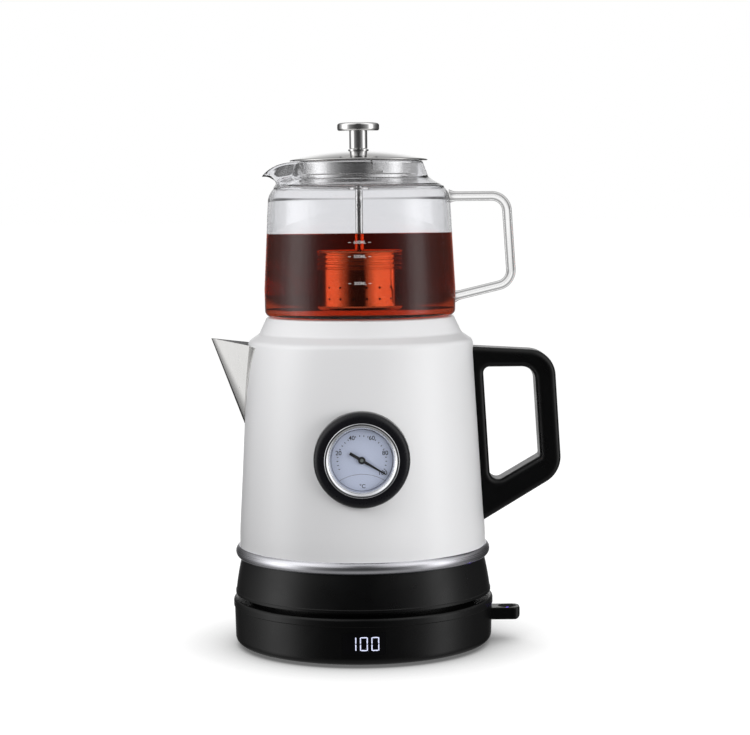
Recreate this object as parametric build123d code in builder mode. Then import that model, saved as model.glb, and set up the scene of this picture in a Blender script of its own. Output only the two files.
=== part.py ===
from build123d import *
import os
from math import cos, degrees, radians, sin, sqrt, tan

os.makedirs("parts", exist_ok=True)

# Automatic tea maker. Millimetres, +Z up. The origin lies on the common axis of base,
# kettle and jug, in the plane of the feet. The pouring spouts point to -X, the handles
# to +X and the thermometer and display to -Y.

# --------------------------------------------------------------------------------------
# Clearances
# --------------------------------------------------------------------------------------
running_gap = 0.3       # between pieces that move against each other
slip_gap = 0.1          # between pieces of one body that slip together
pivot_gap = 0.05        # around a pin or spindle

# --------------------------------------------------------------------------------------
# Power base
# --------------------------------------------------------------------------------------
base_radius = 85.1
base_draft = 1.1                # of the side wall, from its rim to its foot
base_height = 30.0
base_wall = 2.5
base_rim_round = 2.0
base_toe_round = 5.0
rim_band_height = 5.5
rim_band_proud = 0.5
plateau_setback = 11.1          # of the deck's raised middle, from the rim
plateau_rise = 2.9
plateau_round = 0.8
base_lip_width = 6.0            # turned-in lower edge of the shell

foot_height = 1.5
foot_radius = 7.0
foot_sink = 1.0
foot_round = 0.6
foot_inset = 19.1               # of the feet's middles, from the rim
foot_count = 4

cover_thickness = 2.0
base_screw_inset = 35.1         # of the screws, from the rim
screw_radius = 1.6
screw_head_radius = 3.0
screw_head_height = 1.6
screw_length = 10.0
well_radius = 5.0
well_height = 6.0
boss_radius = 4.0

tower_radius = 17.0
tower_height = 9.0
tower_round = 1.5
tower_flange_radius = 21.0
tower_flange_thickness = 3.0
contact_groove_inner_radius = 7.0
contact_groove_outer_radius = 11.0
contact_groove_depth = 9.0
contact_pin_hole_radius = 3.0
contact_thickness = 0.6
contact_setback = 1.0

# Display
window_width = 27.0
window_height = 14.0
window_centre_height = 15.7
digit_pitch = 7.1
digit_height = 8.8
digit_width = 4.9
segment_width = 0.7
segment_gap = 0.25
display_module_depth = 8.0

board_width = 52.0
board_length = 38.0
board_thickness = 1.6
board_height = 6.0              # above the cover
board_post_radius = 2.5
board_post_inset = 4.0
relay_size = (19.0, 15.0, 12.0)
capacitor_radius = 5.0
capacitor_height = 13.0

gland_radius = 6.0
gland_flange_radius = 8.5
gland_flange_thickness = 2.0
gland_recess_radius = 3.4
gland_recess_depth = 1.6
gland_height = 12.0
gland_length = 8.0

# --------------------------------------------------------------------------------------
# Lever
# --------------------------------------------------------------------------------------
lever_reach = 17.8              # beyond the base's side wall
lever_thickness = 7.8
lever_width = 15.0
lever_height = 18.3             # middle of the lever above the floor
lever_travel = 7.0              # degrees upwards from the pressed position
lever_pivot_inset = 19.1        # of the pin, from the base's rim
lever_tail = 7.0                # from the pin inwards
lever_corner_round = 3.3
lever_end_round = 4.5
lever_edge_round = 0.8
dish_radius = 11.5
dish_depth = 1.8
dish_setback = 8.0              # from the lever's end to the middle of the dish
lens_radius = 2.2
lens_depth = 2.0
pin_radius = 1.5
bearing_thickness = 3.0
bearing_side_gap = 0.6
bearing_width = 8.0
slot_gap = 0.6
switch_length = 12.0
switch_width = 12.0
plunger_radius = 1.5
plunger_rise = 1.5

# --------------------------------------------------------------------------------------
# Kettle
# --------------------------------------------------------------------------------------
skirt_height = 23.5
skirt_lip_proud = 0.35
skirt_lip_height = 1.6
skirt_flare = 3.9               # from top to foot
skirt_top_inset = 1.0           # inside the kettle's wall
skirt_bulge = 0.35
skirt_wall = 2.5
skirt_ledge_width = 6.4
skirt_ledge_thickness = 2.0
skirt_boss_radius = 3.6

ring_height = 7.5
ring_flange_thickness = 1.0
ring_proud = 2.8
ring_edge = 0.6

kettle_radius = 80.4
kettle_wall = 1.0
body_height = 156.3             # from the ring's lower edge to the mouth
straight_height = 16.1          # cylindrical stretch above the ring's lower edge
cone_round = 150.0
body_taper = 7.2                # from the straight stretch to the shoulder
shoulder_drop = 15.5            # below the mouth
shoulder_round = 4.5
shoulder_step = 7.3             # from the shoulder in to the neck
neck_root_drop = 10.5
neck_root_round = 3.0
neck_taper = 4.9
neck_round = 1.4
mouth_lip_width = 4.0

seat_ring_width = 4.0           # inside the mouth
seat_ring_flange_width = 1.6
seat_ring_depth = 3.6

plate_rim_width = 1.0
plate_height = 4.0
seal_width = 2.0
seal_height = 3.0
element_radius = 54.0
element_width = 10.0
element_depth = 7.0
element_round = 3.0
element_sweep = 330.0
terminal_angle = 4.0            # from the element's ends
terminal_radius = 1.6
terminal_length = 6.0

bottom_cover_thickness = 2.5
bottom_screw_count = 3
bottom_screw_length = 8.0
socket_gap = 0.6                # around the base's tower
socket_collar_wall = 4.4
thermostat_radius = 30.0
thermostat_height = 11.5
thermostat_round = 2.0
thermostat_post_radius = 12.0
blade_radius = 8.8
blade_thickness = 1.0
blade_length = 7.5
centre_blade_radius = 1.4

# Spout
spout_foot_height = 103.1       # above the skirt's lower edge
spout_tip_height = 166.6
spout_overhang = 25.6           # beyond the shoulder
spout_root_height = 162.5
spout_half_angle = 35.5
spout_wall = 0.8
spout_tip_round = 1.6
spout_foot_round = 5.0
spout_flange_width = 7.0
spout_flange_thickness = 0.6
spout_flange_fade = 52.0        # below the spout's root, where the flange runs out
spout_overrun = 26.0            # how far the blank runs below the foot before it is cut
window_margin = 1.2
window_foot_rise = 20.0
window_top_drop = 9.0
filter_thickness = 0.6
filter_gap = 0.2                # between the strainer and the wall
filter_hole_radius = 1.1
filter_pitch = 3.6
filter_frame = 3.0

# Handle
handle_top_drop = 4.1           # below the shoulder
handle_foot_rise = 15.7         # above the ring
handle_width = 26.0
handle_reach = 52.0
strap_thickness = 5.1
grip_thickness = 13.4
top_arm_thickness = 13.8
top_arm_droop = 3.7
lower_arm_thickness = 22.4
lower_arm_rise = 30.2
gap_floor_rise = 18.8
handle_edge_round = 4.0
handle_top_round = 17.5
handle_foot_round = 19.0
gap_root_round = 4.0
gap_top_round = 9.0
gap_corner_round = 1.6
gap_foot_round = 5.5
handle_core = 9.0               # how far the blank runs into the kettle before it is cut
bracket_width = 13.0
bracket_height = 14.0
bracket_thickness = 2.0
handle_screw_radius = 2.0
handle_screw_head_radius = 3.8
handle_screw_head_depth = 2.0
handle_screw_setback = 0.3      # of the heads below the strap's face
handle_screw_end_gap = 0.25     # between the screws and the kettle's wall
bracket_round = 2.0
handle_screw_inset = 14.0       # from the ends of the strap

# Thermometer
gauge_height = 95.0             # above the skirt's lower edge
housing_radius = 29.9
housing_round = 4.0
housing_setback = 0.9           # of the housing's face behind the bezel's
case_radius = 22.0
case_depth = 5.2
case_floor = 0.8
case_wall = 0.9
case_step = 0.5
case_setback = 0.5              # of the case's back from the wall
dial_radius = 20.5
dial_thickness = 0.5
glass_thickness = 1.4
bezel_radius = 23.3
bezel_window_radius = 19.9
bezel_lip = 1.6
bezel_overlap = 2.0
bezel_chamfer = 1.0
bezel_round = 0.6
needle_length = 17.0
needle_tail = 8.6
needle_tip_width = 0.7
needle_tail_width = 1.9
needle_thickness = 0.4
needle_rise = 1.0               # of the needle's back above the dial
needle_rest_angle = -31.0       # 100 degrees on the scale, from +X
hub_radius = 2.3
hub_boss_radius = 1.3
hub_boss_length = 0.5
hub_cap_thickness = 0.5
spindle_radius = 0.6
shank_radius = 5.0
probe_radius = 2.5
probe_length = 27.0
washer_radius = 9.0
washer_thickness = 1.6
nut_width = 15.0
nut_thickness = 3.5

# --------------------------------------------------------------------------------------
# Jug
# --------------------------------------------------------------------------------------
jug_height = 99.7
jug_wall = 2.2
jug_floor = 3.0
jug_foot_overhang = 1.0         # beyond the kettle's neck
jug_foot_round = 4.0
jug_belly_swell = 0.3
jug_belly_height = 17.6
jug_taper = 3.4                 # from the belly to the shoulder
jug_shoulder_drop = 18.2
jug_shoulder_round = 14.0
jug_shoulder_step = 13.6        # from the shoulder in to the neck
jug_neck_height = 10.2
jug_neck_root_round = 3.0
jug_neck_taper = 3.4

lip_overhang = 21.0             # beyond the jug's neck
lip_tip_drop = 8.9
lip_throat_inset = 5.2          # inside the jug's shoulder
lip_throat_drop = 12.8
lip_half_angle = 30.0
lip_edge_round = 2.4
lip_wall = 1.8
lip_root_inset = 1.9            # inside the jug's neck
lip_under_hollow = 1.4          # how far the lip's underside curves in
lip_crown = 2.6                 # how far the lip's top edge bulges out
lip_skirt = 5.0                 # how far the lip runs down over the shoulder

jug_handle_radius = 3.1
jug_handle_top_drop = 22.9
jug_handle_reach_top = 95.6
jug_handle_reach_foot = 99.0
jug_handle_corner_drop = 79.1
jug_handle_foot_drop = 88.1
jug_handle_bend = 10.0
jug_handle_weld_radius = 4.8
jug_handle_weld_length = 4.0
jug_handle_root = 57.0

# --------------------------------------------------------------------------------------
# Lid
# --------------------------------------------------------------------------------------
lid_flange_overhang = 2.8       # beyond the jug's neck
lid_sheet = 0.8
lid_dome_inset = 6.2            # inside the flange
lid_dome_rise = 6.0
lid_flange_round = 0.3
lid_skirt_gap = 1.4             # inside the jug's mouth
lid_skirt_depth = 9.4
band_thickness = 0.7
band_top_drop = 0.9
band_height = 7.6
band_slit = 1.1
band_slit_angle = 12.0          # from the front, towards the handle
band_notch_length = 6.0
band_notch_height = 1.5
pan_rim_gap = 0.7               # inside the jug's mouth
pan_depth = 16.8
pan_rim_height = 5.0
pan_rim_round = 2.4
pan_sheet = 0.8
bush_radius = 4.2
bush_flange_radius = 6.6
bush_flange_thickness = 1.0
bush_collar_radius = 7.0
bush_collar_thickness = 1.0

# --------------------------------------------------------------------------------------
# Infuser
# --------------------------------------------------------------------------------------
rod_radius = 2.5
rod_bore = 1.6
rod_hole_radius = 1.3
rod_hole_rise = 66.6            # above the basket's underside
knob_radius = 13.65
knob_thickness = 5.2
knob_round = 1.6
knob_stem_radius = 5.85
knob_stem_height = 11.5
knob_stem_groove = 0.5
knob_thread_depth = 8.0
basket_radius = 20.8
basket_height = 24.0
basket_wall = 0.8
basket_floor_gap = 2.0          # above the jug's floor
basket_round = 2.5
basket_hole_radius = 0.7
basket_hole_rows = 2
basket_hole_count = 18
basket_row_pitch = 7.0
basket_floor_hole_radius = 1.2
basket_floor_hole_count = 8
cap_height = 13.2
cap_ridge_count = 4
cap_ridge_depth = 0.9
cap_top_thickness = 1.5
cap_top_round = 1.2
cap_plug_depth = 3.0
cap_wall = 1.0
rod_nut_width = 8.0
rod_nut_thickness = 3.0

# --------------------------------------------------------------------------------------
# Levels and radii that follow
# --------------------------------------------------------------------------------------
base_toe_radius = base_radius - base_draft
base_wall_radius = base_radius - rim_band_proud
plateau_radius = base_radius - plateau_setback
foot_circle_radius = base_radius - foot_inset
base_screw_circle_radius = base_radius - base_screw_inset
lever_pivot_radius = base_radius - lever_pivot_inset
shell_foot = foot_height
base_rim = shell_foot + base_height
rim_band_foot = base_rim - rim_band_height
deck = base_rim + plateau_rise
deck_underside = deck - base_wall
cover_top = shell_foot + cover_thickness
cover_radius = base_toe_radius - base_lip_width
tower_top = deck + tower_height

skirt_top_radius = kettle_radius - skirt_top_inset
skirt_foot_radius = skirt_top_radius + skirt_flare
skirt_lip_radius = skirt_foot_radius + skirt_lip_proud
shoulder_radius = kettle_radius - body_taper
neck_root_radius = shoulder_radius - shoulder_step
neck_radius = neck_root_radius - neck_taper
mouth_radius = neck_radius - mouth_lip_width
seat_ring_radius = mouth_radius - seat_ring_width
spout_reach = shoulder_radius + spout_overhang
kettle_foot = deck + running_gap
ring_foot = kettle_foot + skirt_height
ring_top = ring_foot + ring_height
body_foot = ring_foot + ring_flange_thickness
cone_foot = ring_foot + straight_height
kettle_top = ring_foot + body_height
shoulder = kettle_top - shoulder_drop
neck_root = kettle_top - neck_root_drop
plate_top = ring_foot + plate_height
plate_underside = plate_top - kettle_wall
body_inner_radius = kettle_radius - kettle_wall
plate_radius = body_inner_radius - seal_width

jug_foot = kettle_top + running_gap
jug_rim = jug_foot + jug_height
jug_foot_radius = neck_radius + jug_foot_overhang
jug_belly_radius = jug_foot_radius + jug_belly_swell
jug_shoulder_radius = jug_belly_radius - jug_taper
jug_neck_root_radius = jug_shoulder_radius - jug_shoulder_step
jug_neck_radius = jug_neck_root_radius - jug_neck_taper
jug_mouth_radius = jug_neck_radius - jug_wall
lip_reach = jug_neck_radius + lip_overhang
lip_throat_radius = jug_shoulder_radius - lip_throat_inset
lip_root = jug_neck_radius - lip_root_inset
lid_flange_radius = jug_neck_radius + lid_flange_overhang
lid_dome_radius = lid_flange_radius - lid_dome_inset
lid_skirt_radius = jug_mouth_radius - lid_skirt_gap
pan_radius = jug_mouth_radius - pan_rim_gap
pan_neck_radius = lid_skirt_radius - lid_sheet - slip_gap
lid_seat = jug_rim + running_gap
lid_top = lid_seat + lid_sheet + lid_dome_rise
knob_foot = lid_top + bush_flange_thickness + running_gap
basket_foot = jug_foot + jug_floor + basket_floor_gap
basket_top = basket_foot + basket_height
cap_top = basket_top + cap_height


# --------------------------------------------------------------------------------------
# Helpers
# --------------------------------------------------------------------------------------
def closed_outline(*points):
    """A face inside a closed line of points, in the current sketch."""
    Polygon(*points, align=None)


def turned_form(corners, outset=0.0, rounded=True):
    """A solid turned about Z from (radius, height, rounding) corners, listed upwards.

    Its surface is moved outwards by outset, or inwards where outset is negative.
    """
    low = corners[0][1]
    high = corners[-1][1]
    widest = max(corner[0] for corner in corners) + 10
    with BuildPart() as form:
        with BuildSketch(Plane.XZ) as section:
            closed_outline((-widest, low), *[corner[:2] for corner in corners], (-widest, high))
            for radius, height, rounding in corners:
                if rounded and rounding > 0:
                    fillet(section.vertices().sort_by_distance((radius, height))[0], rounding)
            if outset != 0:
                offset(amount=outset)
            with Locations((widest / 2, (low + high) / 2)):
                Rectangle(widest, high - low + widest, mode=Mode.INTERSECT)
        revolve(axis=Axis.Z)
    return form.part


def wall_radius(height):
    """Outer radius of the kettle's tapered wall at a height."""
    share = (height - cone_foot) / (shoulder - cone_foot)
    return kettle_radius + share * (shoulder_radius - kettle_radius)


def off_wall(distance, height):
    """A point in the XZ plane, at a distance outside the kettle's tapered wall."""
    return (wall_radius(height) + distance, height)


def save(piece, name):
    """Label a finished piece and write it under its name."""
    piece.label = name
    export_step(piece, f"parts/{name}.step")


# --------------------------------------------------------------------------------------
# Power base: shell, cover, feet and screws
# --------------------------------------------------------------------------------------
base_corners = [
    (base_toe_radius, shell_foot, base_toe_round),
    (base_wall_radius, rim_band_foot, 0),
    (base_radius, rim_band_foot + rim_band_proud, 0),
    (base_radius, base_rim, base_rim_round),
    (plateau_radius, base_rim, 0),
    (plateau_radius, deck, plateau_round),
]
base_outside = turned_form(base_corners)
base_hollow = turned_form(base_corners, -base_wall, rounded=False)

lever_foot = lever_height - lever_thickness / 2
lever_end = base_radius + lever_reach
slot_rise = sin(radians(lever_travel)) * (base_radius - lever_pivot_radius)
slot_foot = lever_foot - slot_gap
slot_top = lever_foot + lever_thickness + slot_rise + slot_gap
slot_width = lever_width + 2 * slot_gap
screw_spots = PolarLocations(base_screw_circle_radius, foot_count, start_angle=45)
foot_spots = PolarLocations(foot_circle_radius, foot_count, start_angle=45)
boss_foot = shell_foot + well_height

with BuildPart() as base_shell:
    add(base_outside)
    add(base_hollow, mode=Mode.SUBTRACT)
    with BuildSketch(Plane.XY.offset(shell_foot)):
        Circle(cover_radius + slip_gap)
    extrude(amount=base_wall + slip_gap, mode=Mode.SUBTRACT)
    with BuildSketch(Plane.XY.offset(boss_foot)):
        with screw_spots:
            Circle(boss_radius)
            Circle(screw_radius, mode=Mode.SUBTRACT)
    extrude(amount=deck_underside - boss_foot)
    with BuildSketch(Plane.XY.offset(deck)):
        Circle(tower_radius + slip_gap)
    extrude(amount=-2 * base_wall, mode=Mode.SUBTRACT)
    with BuildSketch(Plane.YZ.offset(base_radius + base_wall)):
        with Locations((0, (slot_foot + slot_top) / 2)):
            RectangleRounded(slot_width, slot_top - slot_foot, lever_edge_round)
    extrude(amount=-4 * base_wall, mode=Mode.SUBTRACT)
    with BuildSketch(Plane.XZ.offset(base_radius + base_wall)):
        with Locations((0, window_centre_height)):
            Rectangle(window_width, window_height)
    extrude(amount=-4 * base_wall, mode=Mode.SUBTRACT)
    with BuildSketch(Plane.XZ.offset(-base_radius - base_wall)):
        with Locations((0, gland_height)):
            Circle(gland_radius + slip_gap)
    extrude(amount=4 * base_wall, mode=Mode.SUBTRACT)
save(base_shell.part, "base_shell")

board_y = -sqrt((base_toe_radius - base_wall) ** 2 - (window_width / 2) ** 2)
board_y += display_module_depth + board_length / 2
board_post_spacing_x = board_width - 2 * board_post_inset
board_post_spacing_y = board_length - 2 * board_post_inset
bearing_centre = lever_width / 2 + bearing_side_gap + bearing_thickness / 2

with BuildPart() as base_cover:
    with BuildSketch(Plane.XY.offset(shell_foot)):
        Circle(cover_radius)
    extrude(amount=cover_thickness)
    with BuildSketch(Plane.XY.offset(shell_foot)):
        with foot_spots:
            Circle(foot_radius + slip_gap)
    extrude(amount=foot_sink, mode=Mode.SUBTRACT)
    with BuildSketch(Plane.XY.offset(shell_foot)):
        with screw_spots:
            Circle(well_radius)
    extrude(amount=well_height)
    with BuildSketch(Plane.XY.offset(shell_foot)):
        with screw_spots:
            Circle(screw_head_radius + slip_gap)
    extrude(amount=well_height / 2, mode=Mode.SUBTRACT)
    with BuildSketch(Plane.XY.offset(shell_foot)):
        with screw_spots:
            Circle(screw_radius + slip_gap)
    extrude(amount=well_height, mode=Mode.SUBTRACT)
    with BuildSketch(Plane.XY.offset(cover_top)):
        with Locations((0, board_y)):
            with GridLocations(board_post_spacing_x, board_post_spacing_y, 2, 2):
                Circle(board_post_radius)
    extrude(amount=board_height)
    with BuildSketch(Plane.XY.offset(cover_top)):
        with Locations((lever_pivot_radius, -bearing_centre), (lever_pivot_radius, bearing_centre)):
            Rectangle(bearing_width, bearing_thickness)
    extrude(amount=lever_height + bearing_width / 2 - cover_top)
    with BuildSketch(Plane.XZ):
        with Locations((lever_pivot_radius, lever_height)):
            Circle(pin_radius)
    extrude(amount=lever_width, both=True, mode=Mode.SUBTRACT)
save(base_cover.part, "base_cover")

with BuildPart() as base_feet:
    with BuildSketch(Plane.XY):
        with foot_spots:
            Circle(foot_radius)
    extrude(amount=foot_height + foot_sink)
    fillet(base_feet.edges().group_by(Axis.Z)[0], foot_round)
save(base_feet.part, "base_feet")

head_top = shell_foot + well_height / 2
with BuildPart() as base_screws:
    with BuildSketch(Plane.XY.offset(head_top - screw_head_height)):
        with screw_spots:
            Circle(screw_head_radius)
    extrude(amount=screw_head_height)
    with BuildSketch(Plane.XY.offset(head_top)):
        with screw_spots:
            Circle(screw_radius)
    extrude(amount=screw_length)
    with BuildSketch(Plane.XY.offset(head_top - screw_head_height)):
        with screw_spots:
            Rectangle(2 * screw_radius, screw_radius / 2)
            Rectangle(screw_radius / 2, 2 * screw_radius)
    extrude(amount=screw_head_height / 2, mode=Mode.SUBTRACT)
save(base_screws.part, "base_screws")

# --------------------------------------------------------------------------------------
# Power base: plug tower and its contacts
# --------------------------------------------------------------------------------------
with BuildPart() as base_connector:
    with BuildSketch(Plane.XY.offset(deck_underside - tower_flange_thickness)):
        Circle(tower_flange_radius)
    extrude(amount=tower_flange_thickness)
    with BuildSketch(Plane.XY.offset(deck_underside)):
        Circle(tower_radius)
    extrude(amount=tower_top - deck_underside)
    fillet(base_connector.edges().group_by(Axis.Z)[-1], tower_round)
    with BuildSketch(Plane.XY.offset(tower_top)):
        Circle(contact_groove_outer_radius)
        Circle(contact_groove_inner_radius, mode=Mode.SUBTRACT)
        Circle(contact_pin_hole_radius)
    extrude(amount=-contact_groove_depth, mode=Mode.SUBTRACT)
save(base_connector.part, "base_connector")

with BuildPart() as connector_contacts:
    with BuildSketch(Plane.XY.offset(tower_top - contact_groove_depth)):
        Circle(contact_groove_inner_radius + contact_thickness)
        Circle(contact_groove_inner_radius, mode=Mode.SUBTRACT)
    extrude(amount=contact_groove_depth - contact_setback)
    with BuildSketch(Plane.XY.offset(tower_top - contact_groove_depth)):
        Circle(contact_pin_hole_radius)
        Circle(contact_pin_hole_radius - contact_thickness, mode=Mode.SUBTRACT)
    extrude(amount=contact_groove_depth - contact_setback)
save(connector_contacts.part, "connector_contacts")

# --------------------------------------------------------------------------------------
# Power base: display
# --------------------------------------------------------------------------------------
side_wall = turned_form(base_corners[:2], rounded=False)
side_wall_core = turned_form(
    [(base_toe_radius - base_wall, shell_foot, 0), (base_wall_radius - base_wall, rim_band_foot, 0)],
    rounded=False,
)


def upright_segment(column, row):
    """A six-sided upright bar; column and row are -1 or 1."""
    length = digit_height / 2 - segment_gap
    with Locations((column * (digit_width - segment_width) / 2, row * digit_height / 4)):
        segment_outline(length, 90)


def level_segment(row):
    """A six-sided level bar; row is -1, 0 or 1."""
    with Locations((0, row * (digit_height - segment_width) / 2)):
        segment_outline(digit_width - segment_width - segment_gap, 0)


def segment_outline(length, turn):
    """A six-sided bar at the current location."""
    half = length / 2
    side = segment_width / 2
    Polygon(
        (-half, 0),
        (-half + side, side),
        (half - side, side),
        (half, 0),
        (half - side, -side),
        (-half + side, -side),
        rotation=turn,
    )


def lit_digits():
    """The digits one, zero, zero in the current sketch."""
    for place in (-1, 0, 1):
        with Locations((place * digit_pitch, window_centre_height)):
            for row in (-1, 1):
                upright_segment(1, row)
                if place >= 0:
                    upright_segment(-1, row)
                    level_segment(row)


with BuildPart() as display_window:
    add(side_wall)
    add(side_wall_core, mode=Mode.SUBTRACT)
    with BuildSketch(Plane.XZ.offset(base_radius + base_wall)):
        with Locations((0, window_centre_height)):
            Rectangle(window_width - 2 * slip_gap, window_height - 2 * slip_gap)
    extrude(amount=-base_radius / 2, mode=Mode.INTERSECT)
    with BuildSketch(Plane.XZ.offset(base_radius + base_wall)):
        lit_digits()
    extrude(amount=-base_radius / 2, mode=Mode.SUBTRACT)
save(display_window.part, "display_window")

with BuildPart() as display_digits:
    add(side_wall)
    add(side_wall_core, mode=Mode.SUBTRACT)
    with BuildSketch(Plane.XZ.offset(base_radius + base_wall)):
        lit_digits()
    extrude(amount=-base_radius / 2, mode=Mode.INTERSECT)
save(display_digits.part, "display_digits")

module_back = board_y - board_length / 2
with BuildPart() as display_module:
    with BuildSketch(Plane.XZ.offset(-module_back)):
        with Locations((0, window_centre_height)):
            Rectangle(window_width - 2 * slip_gap, window_height - 2 * slip_gap)
    extrude(amount=base_radius)
    add(side_wall_core, mode=Mode.INTERSECT)
save(display_module.part, "display_module")

board_foot = cover_top + board_height
board_top = board_foot + board_thickness
with BuildPart() as control_board:
    with BuildSketch(Plane.XY.offset(board_foot)):
        with Locations((0, board_y)):
            Rectangle(board_width, board_length)
    extrude(amount=board_thickness)
    with BuildSketch(Plane.XY.offset(board_top)):
        with Locations((-board_width / 4, board_y + board_length / 5)):
            Rectangle(relay_size[0], relay_size[1])
    extrude(amount=relay_size[2])
    with BuildSketch(Plane.XY.offset(board_top)):
        with Locations((board_width / 5, board_y), (board_width / 5, board_y + 3 * capacitor_radius)):
            Circle(capacitor_radius)
    extrude(amount=capacitor_height)
save(control_board.part, "control_board")

wall_slope = (base_wall_radius - base_toe_radius) / (rim_band_foot - shell_foot)
wall_at_gland = base_toe_radius + wall_slope * (gland_height - shell_foot)
with BuildPart() as cord_gland:
    with BuildSketch(Plane.XZ.offset(-wall_at_gland - gland_flange_thickness)):
        with Locations((0, gland_height)):
            Circle(gland_flange_radius)
    extrude(amount=2 * gland_flange_thickness)
    fillet(cord_gland.edges().group_by(Axis.Y)[-1], gland_flange_thickness / 2)
    add(side_wall, mode=Mode.SUBTRACT)
    with BuildSketch(Plane.XZ.offset(-wall_at_gland - gland_flange_thickness / 2)):
        with Locations((0, gland_height)):
            Circle(gland_radius)
    extrude(amount=gland_length + gland_flange_thickness / 2)
    with BuildSketch(Plane.XZ.offset(-wall_at_gland - gland_flange_thickness)):
        with Locations((0, gland_height)):
            Circle(gland_recess_radius)
    extrude(amount=gland_recess_depth, mode=Mode.SUBTRACT)
save(cord_gland.part, "cord_gland")

# --------------------------------------------------------------------------------------
# Switch: microswitch, hinge pin, lever and its light guide
# --------------------------------------------------------------------------------------
tail_end = lever_pivot_radius - lever_tail
tail_drop = sin(radians(lever_travel)) * lever_tail
plunger_top = lever_foot - tail_drop - running_gap
switch_top = plunger_top - plunger_rise

with BuildPart() as switch_block:
    with BuildSketch(Plane.XY.offset(cover_top)):
        with Locations((tail_end, 0)):
            Rectangle(switch_length, switch_width)
    extrude(amount=switch_top - cover_top)
    with BuildSketch(Plane.XY.offset(switch_top)):
        with Locations((tail_end + plunger_radius, 0)):
            Circle(plunger_radius)
    extrude(amount=plunger_rise)
save(switch_block.part, "switch_block")

with BuildPart() as switch_pin:
    with BuildSketch(Plane.XZ):
        with Locations((lever_pivot_radius, lever_height)):
            Circle(pin_radius)
    extrude(amount=bearing_centre + bearing_thickness / 2, both=True)
save(switch_pin.part, "switch_pin")

dish_centre = lever_end - dish_setback
lever_top = lever_foot + lever_thickness
with BuildPart() as switch_lever:
    with BuildSketch(Plane.XZ) as lever_side:
        closed_outline(
            (tail_end, lever_foot),
            (lever_end, lever_foot),
            (lever_end, lever_top),
            (tail_end, lever_top),
        )
        fillet(lever_side.vertices().sort_by_distance((lever_end, lever_foot))[0], lever_corner_round)
    extrude(amount=lever_width / 2, both=True)
    with BuildSketch(Plane.XY.offset(lever_foot)) as lever_plan:
        with Locations(((tail_end + lever_end) / 2, 0)):
            Rectangle(lever_end - tail_end, lever_width)
        fillet(lever_plan.vertices().group_by(Axis.X)[-1], lever_end_round)
    extrude(amount=lever_thickness, mode=Mode.INTERSECT)
    fillet(switch_lever.faces().sort_by(Axis.Z)[-1].edges(), lever_edge_round)
    with Locations((dish_centre, 0, lever_top + dish_radius - dish_depth)):
        Sphere(dish_radius, mode=Mode.SUBTRACT)
    with BuildSketch(Plane.XY.offset(lever_top - dish_depth - lens_depth)):
        with Locations((dish_centre, 0)):
            Circle(lens_radius)
    extrude(amount=2 * lens_depth, mode=Mode.SUBTRACT)
    with BuildSketch(Plane.XZ):
        with Locations((lever_pivot_radius, lever_height)):
            Circle(pin_radius + pivot_gap)
    extrude(amount=lever_width, both=True, mode=Mode.SUBTRACT)
save(switch_lever.part, "switch_lever")

with BuildPart() as lever_lens:
    with BuildSketch(Plane.XY.offset(lever_top - dish_depth - lens_depth)):
        with Locations((dish_centre, 0)):
            Circle(lens_radius)
    extrude(amount=2 * lens_depth)
    with Locations((dish_centre, 0, lever_top + dish_radius - dish_depth)):
        Sphere(dish_radius, mode=Mode.SUBTRACT)
save(lever_lens.part, "lever_lens")

# --------------------------------------------------------------------------------------
# Kettle: skirt, trim ring and underside
# --------------------------------------------------------------------------------------
skirt_inner_foot = skirt_foot_radius - skirt_wall
skirt_inner_top = skirt_top_radius - skirt_wall
ledge_radius = skirt_top_radius - skirt_ledge_width
lip_top = kettle_foot + skirt_lip_height
skirt_start = lip_top + (skirt_lip_radius - skirt_foot_radius)
skirt_middle = (
    (skirt_foot_radius + skirt_top_radius) / 2 + skirt_bulge,
    (skirt_start + ring_foot) / 2,
)
cover_plate_top = kettle_foot + bottom_cover_thickness
bottom_boss_circle = skirt_inner_top - skirt_boss_radius / 2
bottom_spots = PolarLocations(bottom_boss_circle, bottom_screw_count, start_angle=90)

with BuildPart() as kettle_skirt:
    with BuildSketch(Plane.XZ):
        with BuildLine():
            outer = Polyline(
                (skirt_inner_foot, kettle_foot),
                (skirt_lip_radius, kettle_foot),
                (skirt_lip_radius, lip_top),
                (skirt_foot_radius, skirt_start),
            )
            side = ThreePointArc(outer @ 1, skirt_middle, (skirt_top_radius, ring_foot))
            Polyline(
                side @ 1,
                (ledge_radius, ring_foot),
                (ledge_radius, ring_foot - skirt_ledge_thickness),
                (skirt_inner_top, ring_foot - skirt_ledge_thickness),
                (skirt_inner_foot, skirt_start),
                (skirt_inner_foot, kettle_foot),
            )
        make_face()
    revolve(axis=Axis.Z)
    with BuildSketch(Plane.XY.offset(cover_plate_top)):
        with bottom_spots:
            Circle(skirt_boss_radius)
    extrude(amount=ring_foot - cover_plate_top)
    with BuildSketch(Plane.XY.offset(cover_plate_top)):
        with bottom_spots:
            Circle(screw_radius)
    extrude(amount=bottom_screw_length, mode=Mode.SUBTRACT)
save(kettle_skirt.part, "kettle_skirt")

ring_inner_radius = kettle_radius + slip_gap
ring_outer_radius = kettle_radius + ring_proud
with BuildPart() as trim_ring:
    with BuildSketch(Plane.XZ):
        with BuildLine():
            foot_line = Polyline(
                (ring_inner_radius, ring_top),
                (ring_inner_radius, body_foot),
                (plate_radius + slip_gap, body_foot),
                (plate_radius + slip_gap, ring_foot),
                (ring_inner_radius + ring_edge, ring_foot),
            )
            bulge = ThreePointArc(
                foot_line @ 1,
                (ring_outer_radius, (ring_foot + ring_top) / 2),
                (ring_inner_radius + ring_edge, ring_top),
            )
            Line(bulge @ 1, foot_line @ 0)
        make_face()
    revolve(axis=Axis.Z)
save(trim_ring.part, "trim_ring")

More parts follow.
